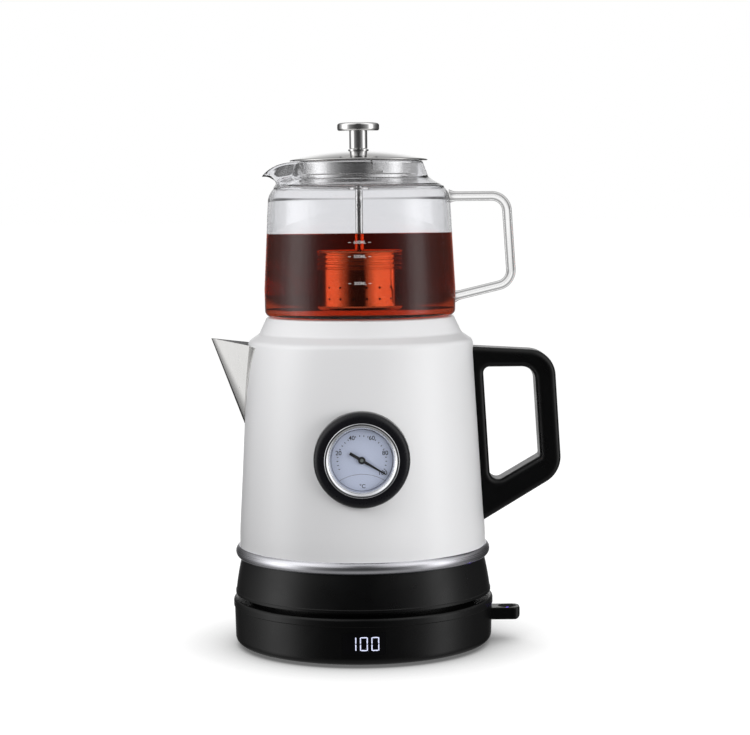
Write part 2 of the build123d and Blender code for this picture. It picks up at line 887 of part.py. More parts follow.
with BuildPart() as heating_plate:
    with BuildSketch(Plane.XY.offset(ring_foot)):
        Circle(plate_radius)
    extrude(amount=plate_height)
    with BuildSketch(Plane.XY.offset(ring_foot)):
        Circle(plate_radius - plate_rim_width)
    extrude(amount=plate_height - kettle_wall, mode=Mode.SUBTRACT)
    fillet(heating_plate.edges().group_by(Axis.Z)[-1], plate_rim_width / 2)
save(heating_plate.part, "heating_plate")

with BuildPart() as kettle_seal:
    with BuildSketch(Plane.XY.offset(body_foot)):
        Circle(body_inner_radius)
        Circle(plate_radius, mode=Mode.SUBTRACT)
    extrude(amount=seal_height)
save(kettle_seal.part, "kettle_seal")

element_foot = plate_underside - element_depth
with BuildPart() as heating_element:
    with BuildSketch(Plane.XZ) as element_section:
        with Locations((element_radius, plate_underside - element_depth / 2)):
            Rectangle(element_width, element_depth)
        fillet(element_section.vertices().group_by(Axis.Y)[0], element_round)
    revolve(axis=Axis.Z, revolution_arc=element_sweep)
    with BuildSketch(Plane.XY.offset(element_foot + element_round)):
        for angle in (terminal_angle, element_sweep - terminal_angle):
            with PolarLocations(element_radius, 1, start_angle=angle):
                Circle(terminal_radius)
    extrude(amount=-terminal_length - element_round)
save(heating_element.part, "heating_element")

collar_radius = tower_radius + socket_gap + socket_collar_wall
cover_plate_radius = skirt_inner_foot - slip_gap
with BuildPart() as kettle_bottom_cover:
    with BuildSketch(Plane.XY.offset(kettle_foot)):
        Circle(cover_plate_radius)
        Circle(collar_radius + slip_gap, mode=Mode.SUBTRACT)
        with bottom_spots:
            Circle(screw_radius + slip_gap, mode=Mode.SUBTRACT)
    extrude(amount=bottom_cover_thickness)
    with BuildSketch(Plane.XY.offset(kettle_foot)):
        with bottom_spots:
            Circle(screw_head_radius + slip_gap)
    extrude(amount=screw_head_height, mode=Mode.SUBTRACT)
save(kettle_bottom_cover.part, "kettle_bottom_cover")

with BuildPart() as bottom_screws:
    with BuildSketch(Plane.XY.offset(kettle_foot)):
        with bottom_spots:
            Circle(screw_head_radius)
    extrude(amount=screw_head_height)
    with BuildSketch(Plane.XY.offset(kettle_foot)):
        with bottom_spots:
            Circle(screw_radius)
    extrude(amount=bottom_screw_length)
    with BuildSketch(Plane.XY.offset(kettle_foot)):
        with bottom_spots:
            Rectangle(2 * screw_radius, screw_radius / 2)
            Rectangle(screw_radius / 2, 2 * screw_radius)
    extrude(amount=screw_head_height / 2, mode=Mode.SUBTRACT)
save(bottom_screws.part, "bottom_screws")

socket_top = tower_top + socket_gap
thermostat_top = cover_plate_top + thermostat_height
with BuildPart() as thermostat:
    with BuildSketch(Plane.XY.offset(cover_plate_top)):
        Circle(thermostat_radius)
    extrude(amount=thermostat_height)
    fillet(thermostat.edges().group_by(Axis.Z)[-1], thermostat_round)
    with BuildSketch(Plane.XY.offset(kettle_foot)):
        Circle(collar_radius)
    extrude(amount=bottom_cover_thickness)
    with BuildSketch(Plane.XY.offset(thermostat_top)):
        Circle(thermostat_post_radius)
    extrude(amount=plate_underside - thermostat_top)
    with BuildSketch(Plane.XY.offset(kettle_foot)):
        Circle(tower_radius + socket_gap)
    extrude(amount=socket_top - kettle_foot, mode=Mode.SUBTRACT)
    with BuildSketch(Plane.XY.offset(socket_top)):
        Circle(blade_radius + blade_thickness)
        Circle(blade_radius, mode=Mode.SUBTRACT)
        Circle(centre_blade_radius)
    extrude(amount=-blade_length - socket_gap)
save(thermostat.part, "thermostat")

# --------------------------------------------------------------------------------------
# Kettle: forms shared by body, spout, filter and handle
# --------------------------------------------------------------------------------------
kettle_corners = [
    (kettle_radius, body_foot, 0),
    (kettle_radius, cone_foot, cone_round),
    (shoulder_radius, shoulder, shoulder_round),
    (neck_root_radius, neck_root, neck_root_round),
    (neck_radius, kettle_top, neck_round),
]
kettle_outside = turned_form(kettle_corners)
kettle_hollow = turned_form(kettle_corners, -kettle_wall)

spout_foot = kettle_foot + spout_foot_height
spout_tip = kettle_foot + spout_tip_height
spout_root = kettle_foot + spout_root_height
spout_foot_reach = wall_radius(spout_foot)
apex_lean = (spout_reach - spout_foot_reach) / (spout_tip - spout_foot)
filter_foot = spout_foot + window_foot_rise
filter_top = spout_root - window_top_drop


def spout_form(inset, taper=0.0):
    """The spout's V-shaped outside with its faces moved inwards by inset, cut level at both ends.

    Below the root, the inset grows by taper for each millimetre of height.
    """
    low = spout_foot - spout_overrun
    high = spout_tip + spout_overrun / 4
    angle = radians(spout_half_angle)
    with BuildPart() as form:
        for height, rounding in ((low, spout_foot_round), (high, spout_tip_round)):
            shift = inset + taper * (spout_root - height)
            reach = spout_foot_reach + apex_lean * (height - spout_foot) - shift / sin(angle)
            depth = reach - shoulder_radius / 2
            with BuildSketch(Plane.XY.offset(height)) as v_section:
                closed_outline(
                    (-reach, 0),
                    (depth - reach, -depth * tan(angle)),
                    (depth - reach, depth * tan(angle)),
                )
                tip = v_section.vertices().sort_by_distance((-reach, 0))[0]
                fillet(tip, max(rounding - shift, spout_wall / 2))
        loft(ruled=True)
    return form.part


def window_half_width(height):
    """Half the width of the pouring window at a height."""
    angle = radians(spout_half_angle)
    reach = spout_foot_reach + apex_lean * (height - spout_foot)
    return (reach - wall_radius(height)) * tan(angle) - (spout_wall + window_margin) / cos(angle)


spout_outside = spout_form(0)
spout_channel = spout_form(spout_wall)
spout_flange_form = spout_form(-spout_flange_width, spout_flange_width / spout_flange_fade)
spout_window = spout_form(spout_wall + window_margin)
flange_skin = turned_form(kettle_corners, spout_flange_thickness)

with BuildPart() as pouring_window:
    add(spout_window)
    with BuildSketch(Plane.XY.offset(filter_foot)):
        Rectangle(2 * spout_reach, 2 * spout_reach)
    extrude(amount=filter_top - filter_foot, mode=Mode.INTERSECT)

# --------------------------------------------------------------------------------------
# Kettle: body
# --------------------------------------------------------------------------------------
gauge_centre = kettle_foot + gauge_height


def gauge_plane(distance):
    """A plane across the thermometer's axis, facing outwards, at a distance from the Z axis."""
    return Plane(origin=(0, -distance, gauge_centre), x_dir=(1, 0, 0), z_dir=(0, -1, 0))


with BuildPart() as kettle_body:
    add(kettle_outside)
    add(kettle_hollow, mode=Mode.SUBTRACT)
    with BuildSketch(Plane.XY.offset(body_foot)):
        Circle(body_inner_radius)
    extrude(amount=2 * kettle_wall, mode=Mode.SUBTRACT)
    with BuildSketch(Plane.XY.offset(kettle_top)):
        Circle(mouth_radius)
    extrude(amount=-2 * kettle_wall, mode=Mode.SUBTRACT)
    with BuildSketch(gauge_plane(kettle_radius)):
        Circle(shank_radius + slip_gap)
    extrude(amount=-kettle_radius / 2, mode=Mode.SUBTRACT)
    add(pouring_window.part, mode=Mode.SUBTRACT)
save(kettle_body.part, "kettle_body")

with BuildPart() as jug_seat_ring:
    with BuildSketch(Plane.XZ):
        closed_outline(
            (seat_ring_radius, kettle_top - seat_ring_depth),
            (mouth_radius + seat_ring_flange_width, kettle_top - seat_ring_depth),
            (mouth_radius + seat_ring_flange_width, kettle_top - kettle_wall),
            (mouth_radius, kettle_top - kettle_wall),
            (mouth_radius, kettle_top),
            (seat_ring_radius, kettle_top),
        )
    revolve(axis=Axis.Z)
save(jug_seat_ring.part, "jug_seat_ring")

# --------------------------------------------------------------------------------------
# Kettle: spout and its strainer
# --------------------------------------------------------------------------------------
with BuildPart() as spout_flange:
    add(spout_flange_form)
    add(flange_skin, mode=Mode.INTERSECT)

rim_slope = (spout_tip - spout_root) / (spout_reach - wall_radius(spout_root))
rim_outer_height = spout_tip + rim_slope * spout_overrun
rim_inner_height = spout_tip - rim_slope * spout_reach
with BuildPart() as kettle_spout:
    add(spout_outside)
    add(spout_flange.part)
    add(kettle_outside, mode=Mode.SUBTRACT)
    add(spout_channel, mode=Mode.SUBTRACT)
    with BuildSketch(Plane.XZ):
        closed_outline(
            (-spout_reach - spout_overrun, rim_outer_height),
            (0, rim_inner_height),
            (0, rim_outer_height + 2 * spout_overrun),
            (-spout_reach - spout_overrun, rim_outer_height + 2 * spout_overrun),
        )
    extrude(amount=spout_reach, both=True, mode=Mode.SUBTRACT)
save(kettle_spout.part, "kettle_spout")

filter_outside = turned_form(kettle_corners, -kettle_wall - filter_gap)
filter_inside = turned_form(kettle_corners, -kettle_wall - filter_gap - filter_thickness)
filter_width = 2 * (window_half_width(filter_top) + filter_frame)
filter_height = filter_top - filter_foot + 2 * filter_frame
with BuildPart() as spout_filter:
    add(filter_outside)
    add(filter_inside, mode=Mode.SUBTRACT)
    with BuildSketch(Plane.YZ.offset(-spout_reach)):
        with Locations((0, (filter_foot + filter_top) / 2)):
            RectangleRounded(filter_width, filter_height, filter_frame)
    extrude(amount=spout_reach, mode=Mode.INTERSECT)
    with BuildSketch(Plane.YZ.offset(-spout_reach)):
        for row in range(int((filter_top - filter_foot) / filter_pitch)):
            row_height = filter_top - filter_pitch * (row + 0.5)
            room = window_half_width(row_height) - filter_hole_radius
            if room > 0:
                with Locations((0, row_height)):
                    with GridLocations(filter_pitch, 0, int(2 * room / filter_pitch) + 1, 1):
                        Circle(filter_hole_radius)
    extrude(amount=spout_reach, mode=Mode.SUBTRACT)
save(spout_filter.part, "spout_filter")

# --------------------------------------------------------------------------------------
# Kettle: handle, its brackets and screws
# --------------------------------------------------------------------------------------
handle_top = shoulder - handle_top_drop
handle_foot = ring_top + handle_foot_rise
grip_inside = handle_reach - grip_thickness
lower_arm_slope = lower_arm_rise / handle_reach
gap_top = handle_top - top_arm_thickness
gap_foot = handle_foot + lower_arm_thickness
handle_outline = [
    (off_wall(-handle_core, handle_top), 0),
    (off_wall(handle_reach, handle_top - top_arm_droop), handle_top_round),
    (off_wall(handle_reach, handle_foot + lower_arm_rise), handle_foot_round),
    (off_wall(-handle_core, handle_foot - handle_core * lower_arm_slope), 0),
]
gap_outline = [
    (off_wall(strap_thickness, gap_top), gap_root_round),
    (off_wall(grip_inside, gap_top), gap_top_round),
    (off_wall(grip_inside, gap_foot + gap_floor_rise), gap_corner_round),
    (off_wall(strap_thickness, gap_foot), gap_foot_round),
]
screw_heights = (gap_top - handle_screw_inset, gap_foot + handle_screw_inset)
bracket_skin = turned_form(kettle_corners, bracket_thickness)


def rounded_outline(sketch, corners):
    """A face inside (point, rounding) corners, in the given sketch."""
    closed_outline(*[point for point, rounding in corners])
    for point, rounding in corners:
        if rounding > 0:
            fillet(sketch.vertices().sort_by_distance(point)[0], rounding)


def countersunk_form(height, growth, overrun):
    """A countersunk screw along X through the handle's strap, its radii grown, its head lengthened."""
    start = wall_radius(height) + handle_screw_end_gap
    head = wall_radius(height) + strap_thickness - handle_screw_setback
    with BuildPart() as form:
        with BuildSketch(Plane.XZ):
            closed_outline(
                (start, height),
                (start, height + handle_screw_radius + growth),
                (head - handle_screw_head_depth, height + handle_screw_radius + growth),
                (head, height + handle_screw_head_radius + growth),
                (head + overrun, height + handle_screw_head_radius + growth),
                (head + overrun, height),
            )
        revolve(axis=Axis((0, 0, height), (1, 0, 0)))
    return form.part


with BuildPart() as bracket_blanks:
    with BuildSketch(Plane.YZ):
        with Locations(*[(0, height) for height in screw_heights]):
            RectangleRounded(bracket_width, bracket_height, bracket_round)
    extrude(amount=kettle_radius + handle_reach)
    add(bracket_skin, mode=Mode.INTERSECT)
    add(kettle_outside, mode=Mode.SUBTRACT)

with BuildPart() as handle_brackets:
    add(bracket_blanks.part)
    with BuildSketch(Plane.YZ):
        with Locations(*[(0, height) for height in screw_heights]):
            Circle(handle_screw_radius)
    extrude(amount=kettle_radius + handle_reach, mode=Mode.SUBTRACT)
save(handle_brackets.part, "handle_brackets")

with BuildPart() as kettle_handle:
    with BuildSketch(Plane.XZ) as handle_side:
        rounded_outline(handle_side, handle_outline)
    extrude(amount=handle_width / 2, both=True)
    with BuildSketch(Plane.XZ) as gap_side:
        rounded_outline(gap_side, gap_outline)
    extrude(amount=handle_width, both=True, mode=Mode.SUBTRACT)
    side_faces = kettle_handle.faces().sort_by(Axis.Y)
    fillet(side_faces[0].edges() + side_faces[-1].edges(), handle_edge_round)
    add(kettle_outside, mode=Mode.SUBTRACT)
    add(bracket_blanks.part, mode=Mode.SUBTRACT)
    for height in screw_heights:
        add(countersunk_form(height, slip_gap, strap_thickness), mode=Mode.SUBTRACT)
save(kettle_handle.part, "kettle_handle")

with BuildPart() as handle_screws:
    for height in screw_heights:
        add(countersunk_form(height, 0, 0))
        head_face = wall_radius(height) + strap_thickness - handle_screw_setback
        with BuildSketch(Plane.YZ.offset(head_face)):
            with Locations((0, height)):
                Rectangle(2 * handle_screw_radius, handle_screw_radius / 2)
                Rectangle(handle_screw_radius / 2, 2 * handle_screw_radius)
        extrude(amount=-handle_screw_head_depth / 2, mode=Mode.SUBTRACT)
save(handle_screws.part, "handle_screws")

# --------------------------------------------------------------------------------------
# Kettle: thermometer
# --------------------------------------------------------------------------------------
case_back = wall_radius(gauge_centre - case_radius) + case_setback
case_front = case_back + case_depth
bezel_front = case_front + bezel_lip
housing_front = bezel_front - housing_setback
housing_back = wall_radius(gauge_centre) / 2
glass_radius = case_radius - case_wall - slip_gap
dial_back = case_back + case_floor
dial_front = dial_back + dial_thickness
needle_back = dial_front + needle_rise
needle_front = needle_back + needle_thickness
washer_seat = sqrt((wall_radius(gauge_centre + washer_radius) - kettle_wall) ** 2 - washer_radius ** 2)
nut_face = washer_seat - washer_thickness
shank_end = nut_face - nut_thickness - slip_gap

with BuildPart() as gauge_housing:
    with BuildSketch(gauge_plane(housing_back)):
        Circle(housing_radius)
    extrude(amount=housing_front - housing_back)
    fillet(gauge_housing.edges().group_by(Axis.Y)[0], housing_round)
    with BuildSketch(gauge_plane(housing_back)):
        Circle(case_radius + slip_gap)
    extrude(amount=bezel_front - housing_back, mode=Mode.SUBTRACT)
    with BuildSketch(gauge_plane(case_front - bezel_overlap)):
        Circle(bezel_radius + slip_gap)
    extrude(amount=bezel_overlap + bezel_lip, mode=Mode.SUBTRACT)
    add(kettle_outside, mode=Mode.SUBTRACT)
save(gauge_housing.part, "gauge_housing")

with BuildPart() as gauge_bezel:
    with BuildSketch(gauge_plane(case_front - bezel_overlap)):
        Circle(bezel_radius)
        Circle(case_radius, mode=Mode.SUBTRACT)
    extrude(amount=bezel_overlap)
    with BuildSketch(gauge_plane(case_front)):
        Circle(bezel_radius)
        Circle(bezel_window_radius, mode=Mode.SUBTRACT)
    extrude(amount=bezel_lip)
    front_edges = gauge_bezel.edges().group_by(Axis.Y)[0].sort_by(SortBy.RADIUS)
    chamfer(front_edges[0], bezel_chamfer)
    fillet(front_edges[-1], bezel_round)
save(gauge_bezel.part, "gauge_bezel")

with BuildPart() as gauge_glass:
    with BuildSketch(gauge_plane(case_front - glass_thickness)):
        Circle(glass_radius)
    extrude(amount=glass_thickness)
save(gauge_glass.part, "gauge_glass")

with BuildPart() as gauge_dial:
    with BuildSketch(gauge_plane(dial_back)):
        Circle(dial_radius)
        Circle(spindle_radius + slip_gap, mode=Mode.SUBTRACT)
    extrude(amount=dial_thickness)
save(gauge_dial.part, "gauge_dial")

with BuildPart() as gauge_probe:
    with BuildSketch(gauge_plane(case_back)):
        Circle(case_radius)
    extrude(amount=case_depth)
    with BuildSketch(gauge_plane(dial_back)):
        Circle(glass_radius + slip_gap - case_step)
    extrude(amount=case_depth, mode=Mode.SUBTRACT)
    with BuildSketch(gauge_plane(case_front - glass_thickness)):
        Circle(glass_radius + slip_gap)
    extrude(amount=glass_thickness, mode=Mode.SUBTRACT)
    with BuildSketch(gauge_plane(dial_back)):
        Circle(spindle_radius)
    extrude(amount=needle_front - dial_back)
    with BuildSketch(gauge_plane(shank_end)):
        Circle(shank_radius)
    extrude(amount=case_back - shank_end)
    with BuildSketch(gauge_plane(shank_end - probe_length)):
        Circle(probe_radius)
    extrude(amount=probe_length)
    fillet(gauge_probe.edges().group_by(Axis.Y)[-1], probe_radius * 0.9)
save(gauge_probe.part, "gauge_probe")

with BuildPart() as inner_washer:
    with BuildSketch(gauge_plane(nut_face)):
        Circle(washer_radius)
        Circle(shank_radius, mode=Mode.SUBTRACT)
    extrude(amount=case_back - nut_face)
    add(kettle_hollow, mode=Mode.INTERSECT)

with BuildPart() as gauge_seal:
    with BuildSketch(gauge_plane(nut_face)):
        Circle(washer_radius)
        Circle(shank_radius, mode=Mode.SUBTRACT)
    extrude(amount=case_back - nut_face)
    add(kettle_outside, mode=Mode.SUBTRACT)
    add(inner_washer.part)
save(gauge_seal.part, "gauge_seal")

with BuildPart() as gauge_nut:
    with BuildSketch(gauge_plane(nut_face)):
        RegularPolygon(nut_width / 2, 6, major_radius=False)
        Circle(shank_radius, mode=Mode.SUBTRACT)
    extrude(amount=-nut_thickness)
save(gauge_nut.part, "gauge_nut")

with BuildPart() as gauge_needle:
    with BuildSketch(gauge_plane(needle_back)):
        with Locations(Rotation(0, 0, needle_rest_angle)):
            closed_outline(
                (-needle_tail, -needle_tail_width / 2),
                (0, -needle_tail_width / 2),
                (needle_length, -needle_tip_width / 2),
                (needle_length, needle_tip_width / 2),
                (0, needle_tail_width / 2),
                (-needle_tail, needle_tail_width / 2),
            )
            Circle(hub_radius - spindle_radius)
        Circle(hub_boss_radius, mode=Mode.SUBTRACT)
    extrude(amount=needle_thickness)
save(gauge_needle.part, "gauge_needle")

with BuildPart() as needle_hub:
    with BuildSketch(gauge_plane(needle_back - hub_boss_length)):
        Circle(hub_boss_radius)
    extrude(amount=hub_boss_length + needle_thickness)
    with BuildSketch(gauge_plane(needle_front)):
        Circle(hub_radius)
    extrude(amount=hub_cap_thickness)
    fillet(needle_hub.edges().group_by(Axis.Y)[0], hub_cap_thickness / 2)
    with BuildSketch(gauge_plane(needle_back - hub_boss_length)):
        Circle(spindle_radius + pivot_gap)
    extrude(amount=hub_boss_length + needle_thickness + slip_gap, mode=Mode.SUBTRACT)
save(needle_hub.part, "needle_hub")

# --------------------------------------------------------------------------------------
# Jug
# --------------------------------------------------------------------------------------
jug_corners = [
    (jug_foot_radius, jug_foot, jug_foot_round),
    (jug_belly_radius, jug_foot + jug_belly_height, 0),
    (jug_shoulder_radius, jug_rim - jug_shoulder_drop, jug_shoulder_round),
    (jug_neck_root_radius, jug_rim - jug_neck_height, jug_neck_root_round),
    (jug_neck_radius, jug_rim, 0),
]
jug_outside = turned_form(jug_corners)
jug_hollow = turned_form(jug_corners, -jug_wall)

lip_tip = jug_rim - lip_tip_drop
lip_throat = jug_rim - lip_throat_drop
lip_middle = ((lip_reach + lip_throat_radius) / 2, (lip_tip + lip_throat) / 2 + lip_under_hollow)
crown_start = jug_neck_radius + jug_wall
crown_middle = (
    (lip_reach + crown_start) / 2 + lip_crown / 2,
    (lip_tip + jug_rim) / 2 + lip_crown,
)


def lip_plan(reach, low):
    """The pouring lip's V-shaped plan, raised from a level to above the rim, as a solid."""
    depth = reach - jug_mouth_radius / 2
    with BuildPart() as form:
        with BuildSketch(Plane.XY.offset(low)) as plan:
            closed_outline(
                (-reach, 0),
                (depth - reach, -depth * tan(radians(lip_half_angle))),
                (depth - reach, depth * tan(radians(lip_half_angle))),
            )
            fillet(plan.vertices().sort_by_distance((-reach, 0))[0], lip_edge_round)
        extrude(amount=2 * lip_throat_drop)
    return form.part


lip_low = lip_throat - lip_skirt
lip_outer_plan = lip_plan(lip_reach, lip_low)
lip_inner_plan = lip_plan(lip_reach - lip_wall / sin(radians(lip_half_angle)), lip_low - lip_wall)

with BuildPart() as lip_outside:
    with BuildSketch(Plane.XZ):
        with BuildLine():
            under = ThreePointArc(
                (-lip_throat_radius, lip_throat), (-lip_middle[0], lip_middle[1]), (-lip_reach, lip_tip)
            )
            crown = ThreePointArc(under @ 1, (-crown_middle[0], crown_middle[1]), (-crown_start, jug_rim))
            Polyline(
                crown @ 1,
                (-lip_root, jug_rim),
                (-lip_root, lip_low),
                (-lip_throat_radius, lip_low),
                under @ 0,
            )
        make_face()
    extrude(amount=lip_reach, both=True)
    add(lip_outer_plan, mode=Mode.INTERSECT)

with BuildPart() as lip_channel:
    with BuildSketch(Plane.XZ):
        with BuildLine():
            floor_start = (-lip_throat_radius + lip_wall, lip_throat + lip_wall / 2)
            floor_line = ThreePointArc(
                floor_start, (-lip_middle[0], lip_middle[1] + lip_wall), (-lip_reach, lip_tip + lip_wall)
            )
            Polyline(
                floor_line @ 1,
                (-lip_reach, jug_rim + lip_wall),
                (-lip_root, jug_rim + lip_wall),
                (-lip_root, lip_low - lip_wall),
                (-lip_throat_radius + lip_wall, lip_low - lip_wall),
                floor_start,
            )
        make_face()
    extrude(amount=lip_reach, both=True)
    add(lip_inner_plan, mode=Mode.INTERSECT)

with BuildPart() as jug_glass:
    add(jug_outside)
    add(lip_outside.part)
    add(jug_hollow, mode=Mode.SUBTRACT)
    with BuildSketch(Plane.XY.offset(jug_rim)):
        Circle(jug_mouth_radius)
    extrude(amount=-2 * jug_wall, mode=Mode.SUBTRACT)
    add(lip_channel.part, mode=Mode.SUBTRACT)
    with BuildSketch(Plane.XY.offset(jug_foot + jug_wall / 2)):
        Circle(jug_foot_radius - jug_wall)
    extrude(amount=jug_floor - jug_wall / 2)
save(jug_glass.part, "jug_glass")

with BuildPart() as jug_handle:
    with BuildLine():
        handle_path = FilletPolyline(
            (jug_handle_root, 0, jug_rim - jug_handle_top_drop),
            (jug_handle_reach_top, 0, jug_rim - jug_handle_top_drop),
            (jug_handle_reach_foot, 0, jug_rim - jug_handle_corner_drop),
            (jug_handle_root, 0, jug_rim - jug_handle_foot_drop),
            radius=jug_handle_bend,
        )
    with BuildSketch(Plane(origin=handle_path @ 0, z_dir=handle_path % 0)):
        Circle(jug_handle_radius)
    sweep()
    for origin, direction in ((handle_path @ 0, handle_path % 0), (handle_path @ 1, -(handle_path % 1))):
        with Locations(Plane(origin=origin, z_dir=direction)):
            Cone(
                2 * jug_handle_weld_radius,
                jug_handle_radius,
                2 * jug_handle_weld_length,
                align=(Align.CENTER, Align.CENTER, Align.MIN),
            )
    add(jug_outside, mode=Mode.SUBTRACT)
save(jug_handle.part, "jug_handle")

# --------------------------------------------------------------------------------------
# Lid
# --------------------------------------------------------------------------------------
lid_bore = bush_radius + slip_gap
flange_top = lid_seat + lid_sheet
skirt_foot = lid_seat - lid_skirt_depth
dome_middle_radius = (lid_bore + lid_dome_radius) / 2
dome_share = (dome_middle_radius ** 2 - lid_bore ** 2) / (lid_dome_radius ** 2 - lid_bore ** 2)
dome_middle = lid_top - lid_dome_rise * dome_share
skirt_inside = lid_skirt_radius - lid_sheet

with BuildPart() as lid_cover:
    with BuildSketch(Plane.XZ) as lid_section:
        with BuildLine():
            dome = ThreePointArc(
                (lid_bore, lid_top), (dome_middle_radius, dome_middle), (lid_dome_radius, flange_top)
            )
            rim = Polyline(
                dome @ 1,
                (lid_flange_radius, flange_top),
                (lid_flange_radius, lid_seat),
                (lid_skirt_radius, lid_seat),
                (lid_skirt_radius, skirt_foot),
                (skirt_inside, skirt_foot),
                (skirt_inside, lid_seat + slip_gap),
            )
            underside = ThreePointArc(
                rim @ 1, (dome_middle_radius, dome_middle - lid_sheet), (lid_bore, lid_top - lid_sheet)
            )
            Line(underside @ 1, dome @ 0)
        make_face()
        for height in (flange_top, lid_seat):
            fillet(lid_section.vertices().sort_by_distance((lid_flange_radius, height))[0], lid_flange_round)
    revolve(axis=Axis.Z)
save(lid_cover.part, "lid_cover")

band_top = lid_seat - band_top_drop
band_radius = lid_skirt_radius + band_thickness
slit_angle = -90 + band_slit_angle
notch_angle = slit_angle + degrees((band_notch_length + band_slit) / 2 / band_radius)
with BuildPart() as lid_spring_band:
    with BuildSketch(Plane.XY.offset(band_top - band_height)):
        Circle(band_radius)
        Circle(lid_skirt_radius, mode=Mode.SUBTRACT)
        with PolarLocations(band_radius, 1, start_angle=slit_angle):
            Rectangle(4 * band_thickness, band_slit, mode=Mode.SUBTRACT)
    extrude(amount=band_height)
    with BuildSketch(Plane.XY.offset(band_top - band_height)):
        with PolarLocations(band_radius, 1, start_angle=notch_angle):
            Rectangle(4 * band_thickness, band_notch_length + band_slit)
    extrude(amount=band_notch_height, mode=Mode.SUBTRACT)
save(lid_spring_band.part, "lid_spring_band")

pan_foot = lid_seat - pan_depth
pan_top = lid_seat - lid_sheet
pan_corners = [
    (pan_radius, pan_foot, pan_rim_round),
    (pan_radius, pan_foot + pan_rim_height, pan_sheet),
    (pan_neck_radius, pan_foot + pan_rim_height, 0),
    (pan_neck_radius, pan_top, 0),
]
pan_outside = turned_form(pan_corners)
pan_hollow = turned_form(pan_corners, -pan_sheet)
with BuildPart() as lid_pan:
    add(pan_outside)
    add(pan_hollow, mode=Mode.SUBTRACT)
    with BuildSketch(Plane.XY.offset(pan_top)):
        Circle(pan_neck_radius - pan_sheet)
    extrude(amount=-2 * pan_sheet, mode=Mode.SUBTRACT)
    with BuildSketch(Plane.XY.offset(pan_foot)):
        Circle(lid_bore)
    extrude(amount=2 * pan_sheet, mode=Mode.SUBTRACT)
save(lid_pan.part, "lid_pan")

with BuildPart() as lid_bush:
    with BuildSketch(Plane.XY.offset(pan_foot - bush_collar_thickness)):
        Circle(bush_collar_radius)
    extrude(amount=bush_collar_thickness)
    with BuildSketch(Plane.XY.offset(pan_foot)):
        Circle(bush_radius)
    extrude(amount=lid_top - pan_foot)
    with BuildSketch(Plane.XY.offset(lid_top)):
        Circle(bush_flange_radius)
    extrude(amount=bush_flange_thickness)
    with BuildSketch(Plane.XY.offset(pan_foot - bush_collar_thickness)):
        Circle(rod_radius + pivot_gap)
    extrude(amount=lid_top - pan_foot + bush_collar_thickness + bush_flange_thickness, mode=Mode.SUBTRACT)
save(lid_bush.part, "lid_bush")

# --------------------------------------------------------------------------------------
# Infuser
# --------------------------------------------------------------------------------------
rod_top = knob_foot + knob_thread_depth
nut_top = cap_top - cap_top_thickness
rod_foot = nut_top - rod_nut_thickness - rod_bore / 2
knob_face = knob_foot + knob_stem_height

with BuildPart() as lid_knob:
    with BuildSketch(Plane.XY.offset(knob_face)):
        Circle(knob_radius)
    extrude(amount=knob_thickness)
    fillet(lid_knob.edges().filter_by(GeomType.CIRCLE), knob_round)
    with BuildSketch(Plane.XY.offset(knob_foot)):
        Circle(knob_stem_radius)
    extrude(amount=knob_stem_height)
    fillet(lid_knob.edges().group_by(Axis.Z)[0], knob_stem_groove)
    with BuildSketch(Plane.XY.offset(knob_foot)):
        Circle(rod_radius)
    extrude(amount=knob_thread_depth, mode=Mode.SUBTRACT)
save(lid_knob.part, "lid_knob")

with BuildPart() as infuser_rod:
    with BuildSketch(Plane.XY.offset(rod_foot)):
        Circle(rod_radius)
        Circle(rod_bore, mode=Mode.SUBTRACT)
    extrude(amount=rod_top - rod_foot)
    with BuildSketch(Plane.XZ):
        with Locations((0, basket_foot + rod_hole_rise)):
            Circle(rod_hole_radius)
    extrude(amount=rod_radius, mode=Mode.SUBTRACT)
save(infuser_rod.part, "infuser_rod")

with BuildPart() as rod_nut:
    with BuildSketch(Plane.XY.offset(nut_top)):
        RegularPolygon(rod_nut_width / 2, 6, major_radius=False)
        Circle(rod_radius, mode=Mode.SUBTRACT)
    extrude(amount=-rod_nut_thickness)
save(rod_nut.part, "rod_nut")

ridge_pitch = cap_height / (cap_ridge_count + 0.5)
groove_radius = basket_radius - cap_ridge_depth
cap_profile = []
for ridge in range(cap_ridge_count):
    ridge_foot = basket_top + ridge * ridge_pitch
    cap_profile.append((basket_radius, ridge_foot))
    cap_profile.append((basket_radius, ridge_foot + ridge_pitch / 2))
    cap_profile.append((groove_radius, ridge_foot + ridge_pitch * 0.6))
    cap_profile.append((groove_radius, ridge_foot + ridge_pitch * 0.9))
cap_profile.append((basket_radius, basket_top + cap_ridge_count * ridge_pitch))
cap_profile.append((basket_radius, cap_top))
cap_inside = groove_radius - cap_wall
plug_radius = basket_radius - basket_wall - slip_gap

with BuildPart() as infuser_cap:
    with BuildSketch(Plane.XZ) as cap_section:
        closed_outline(
            *cap_profile,
            (rod_radius, cap_top),
            (rod_radius, nut_top),
            (cap_inside, nut_top),
            (cap_inside, basket_top - cap_plug_depth),
            (plug_radius, basket_top - cap_plug_depth),
            (plug_radius, basket_top),
        )
        fillet(cap_section.vertices().sort_by_distance((basket_radius, cap_top))[0], cap_top_round)
    revolve(axis=Axis.Z)
save(infuser_cap.part, "infuser_cap")

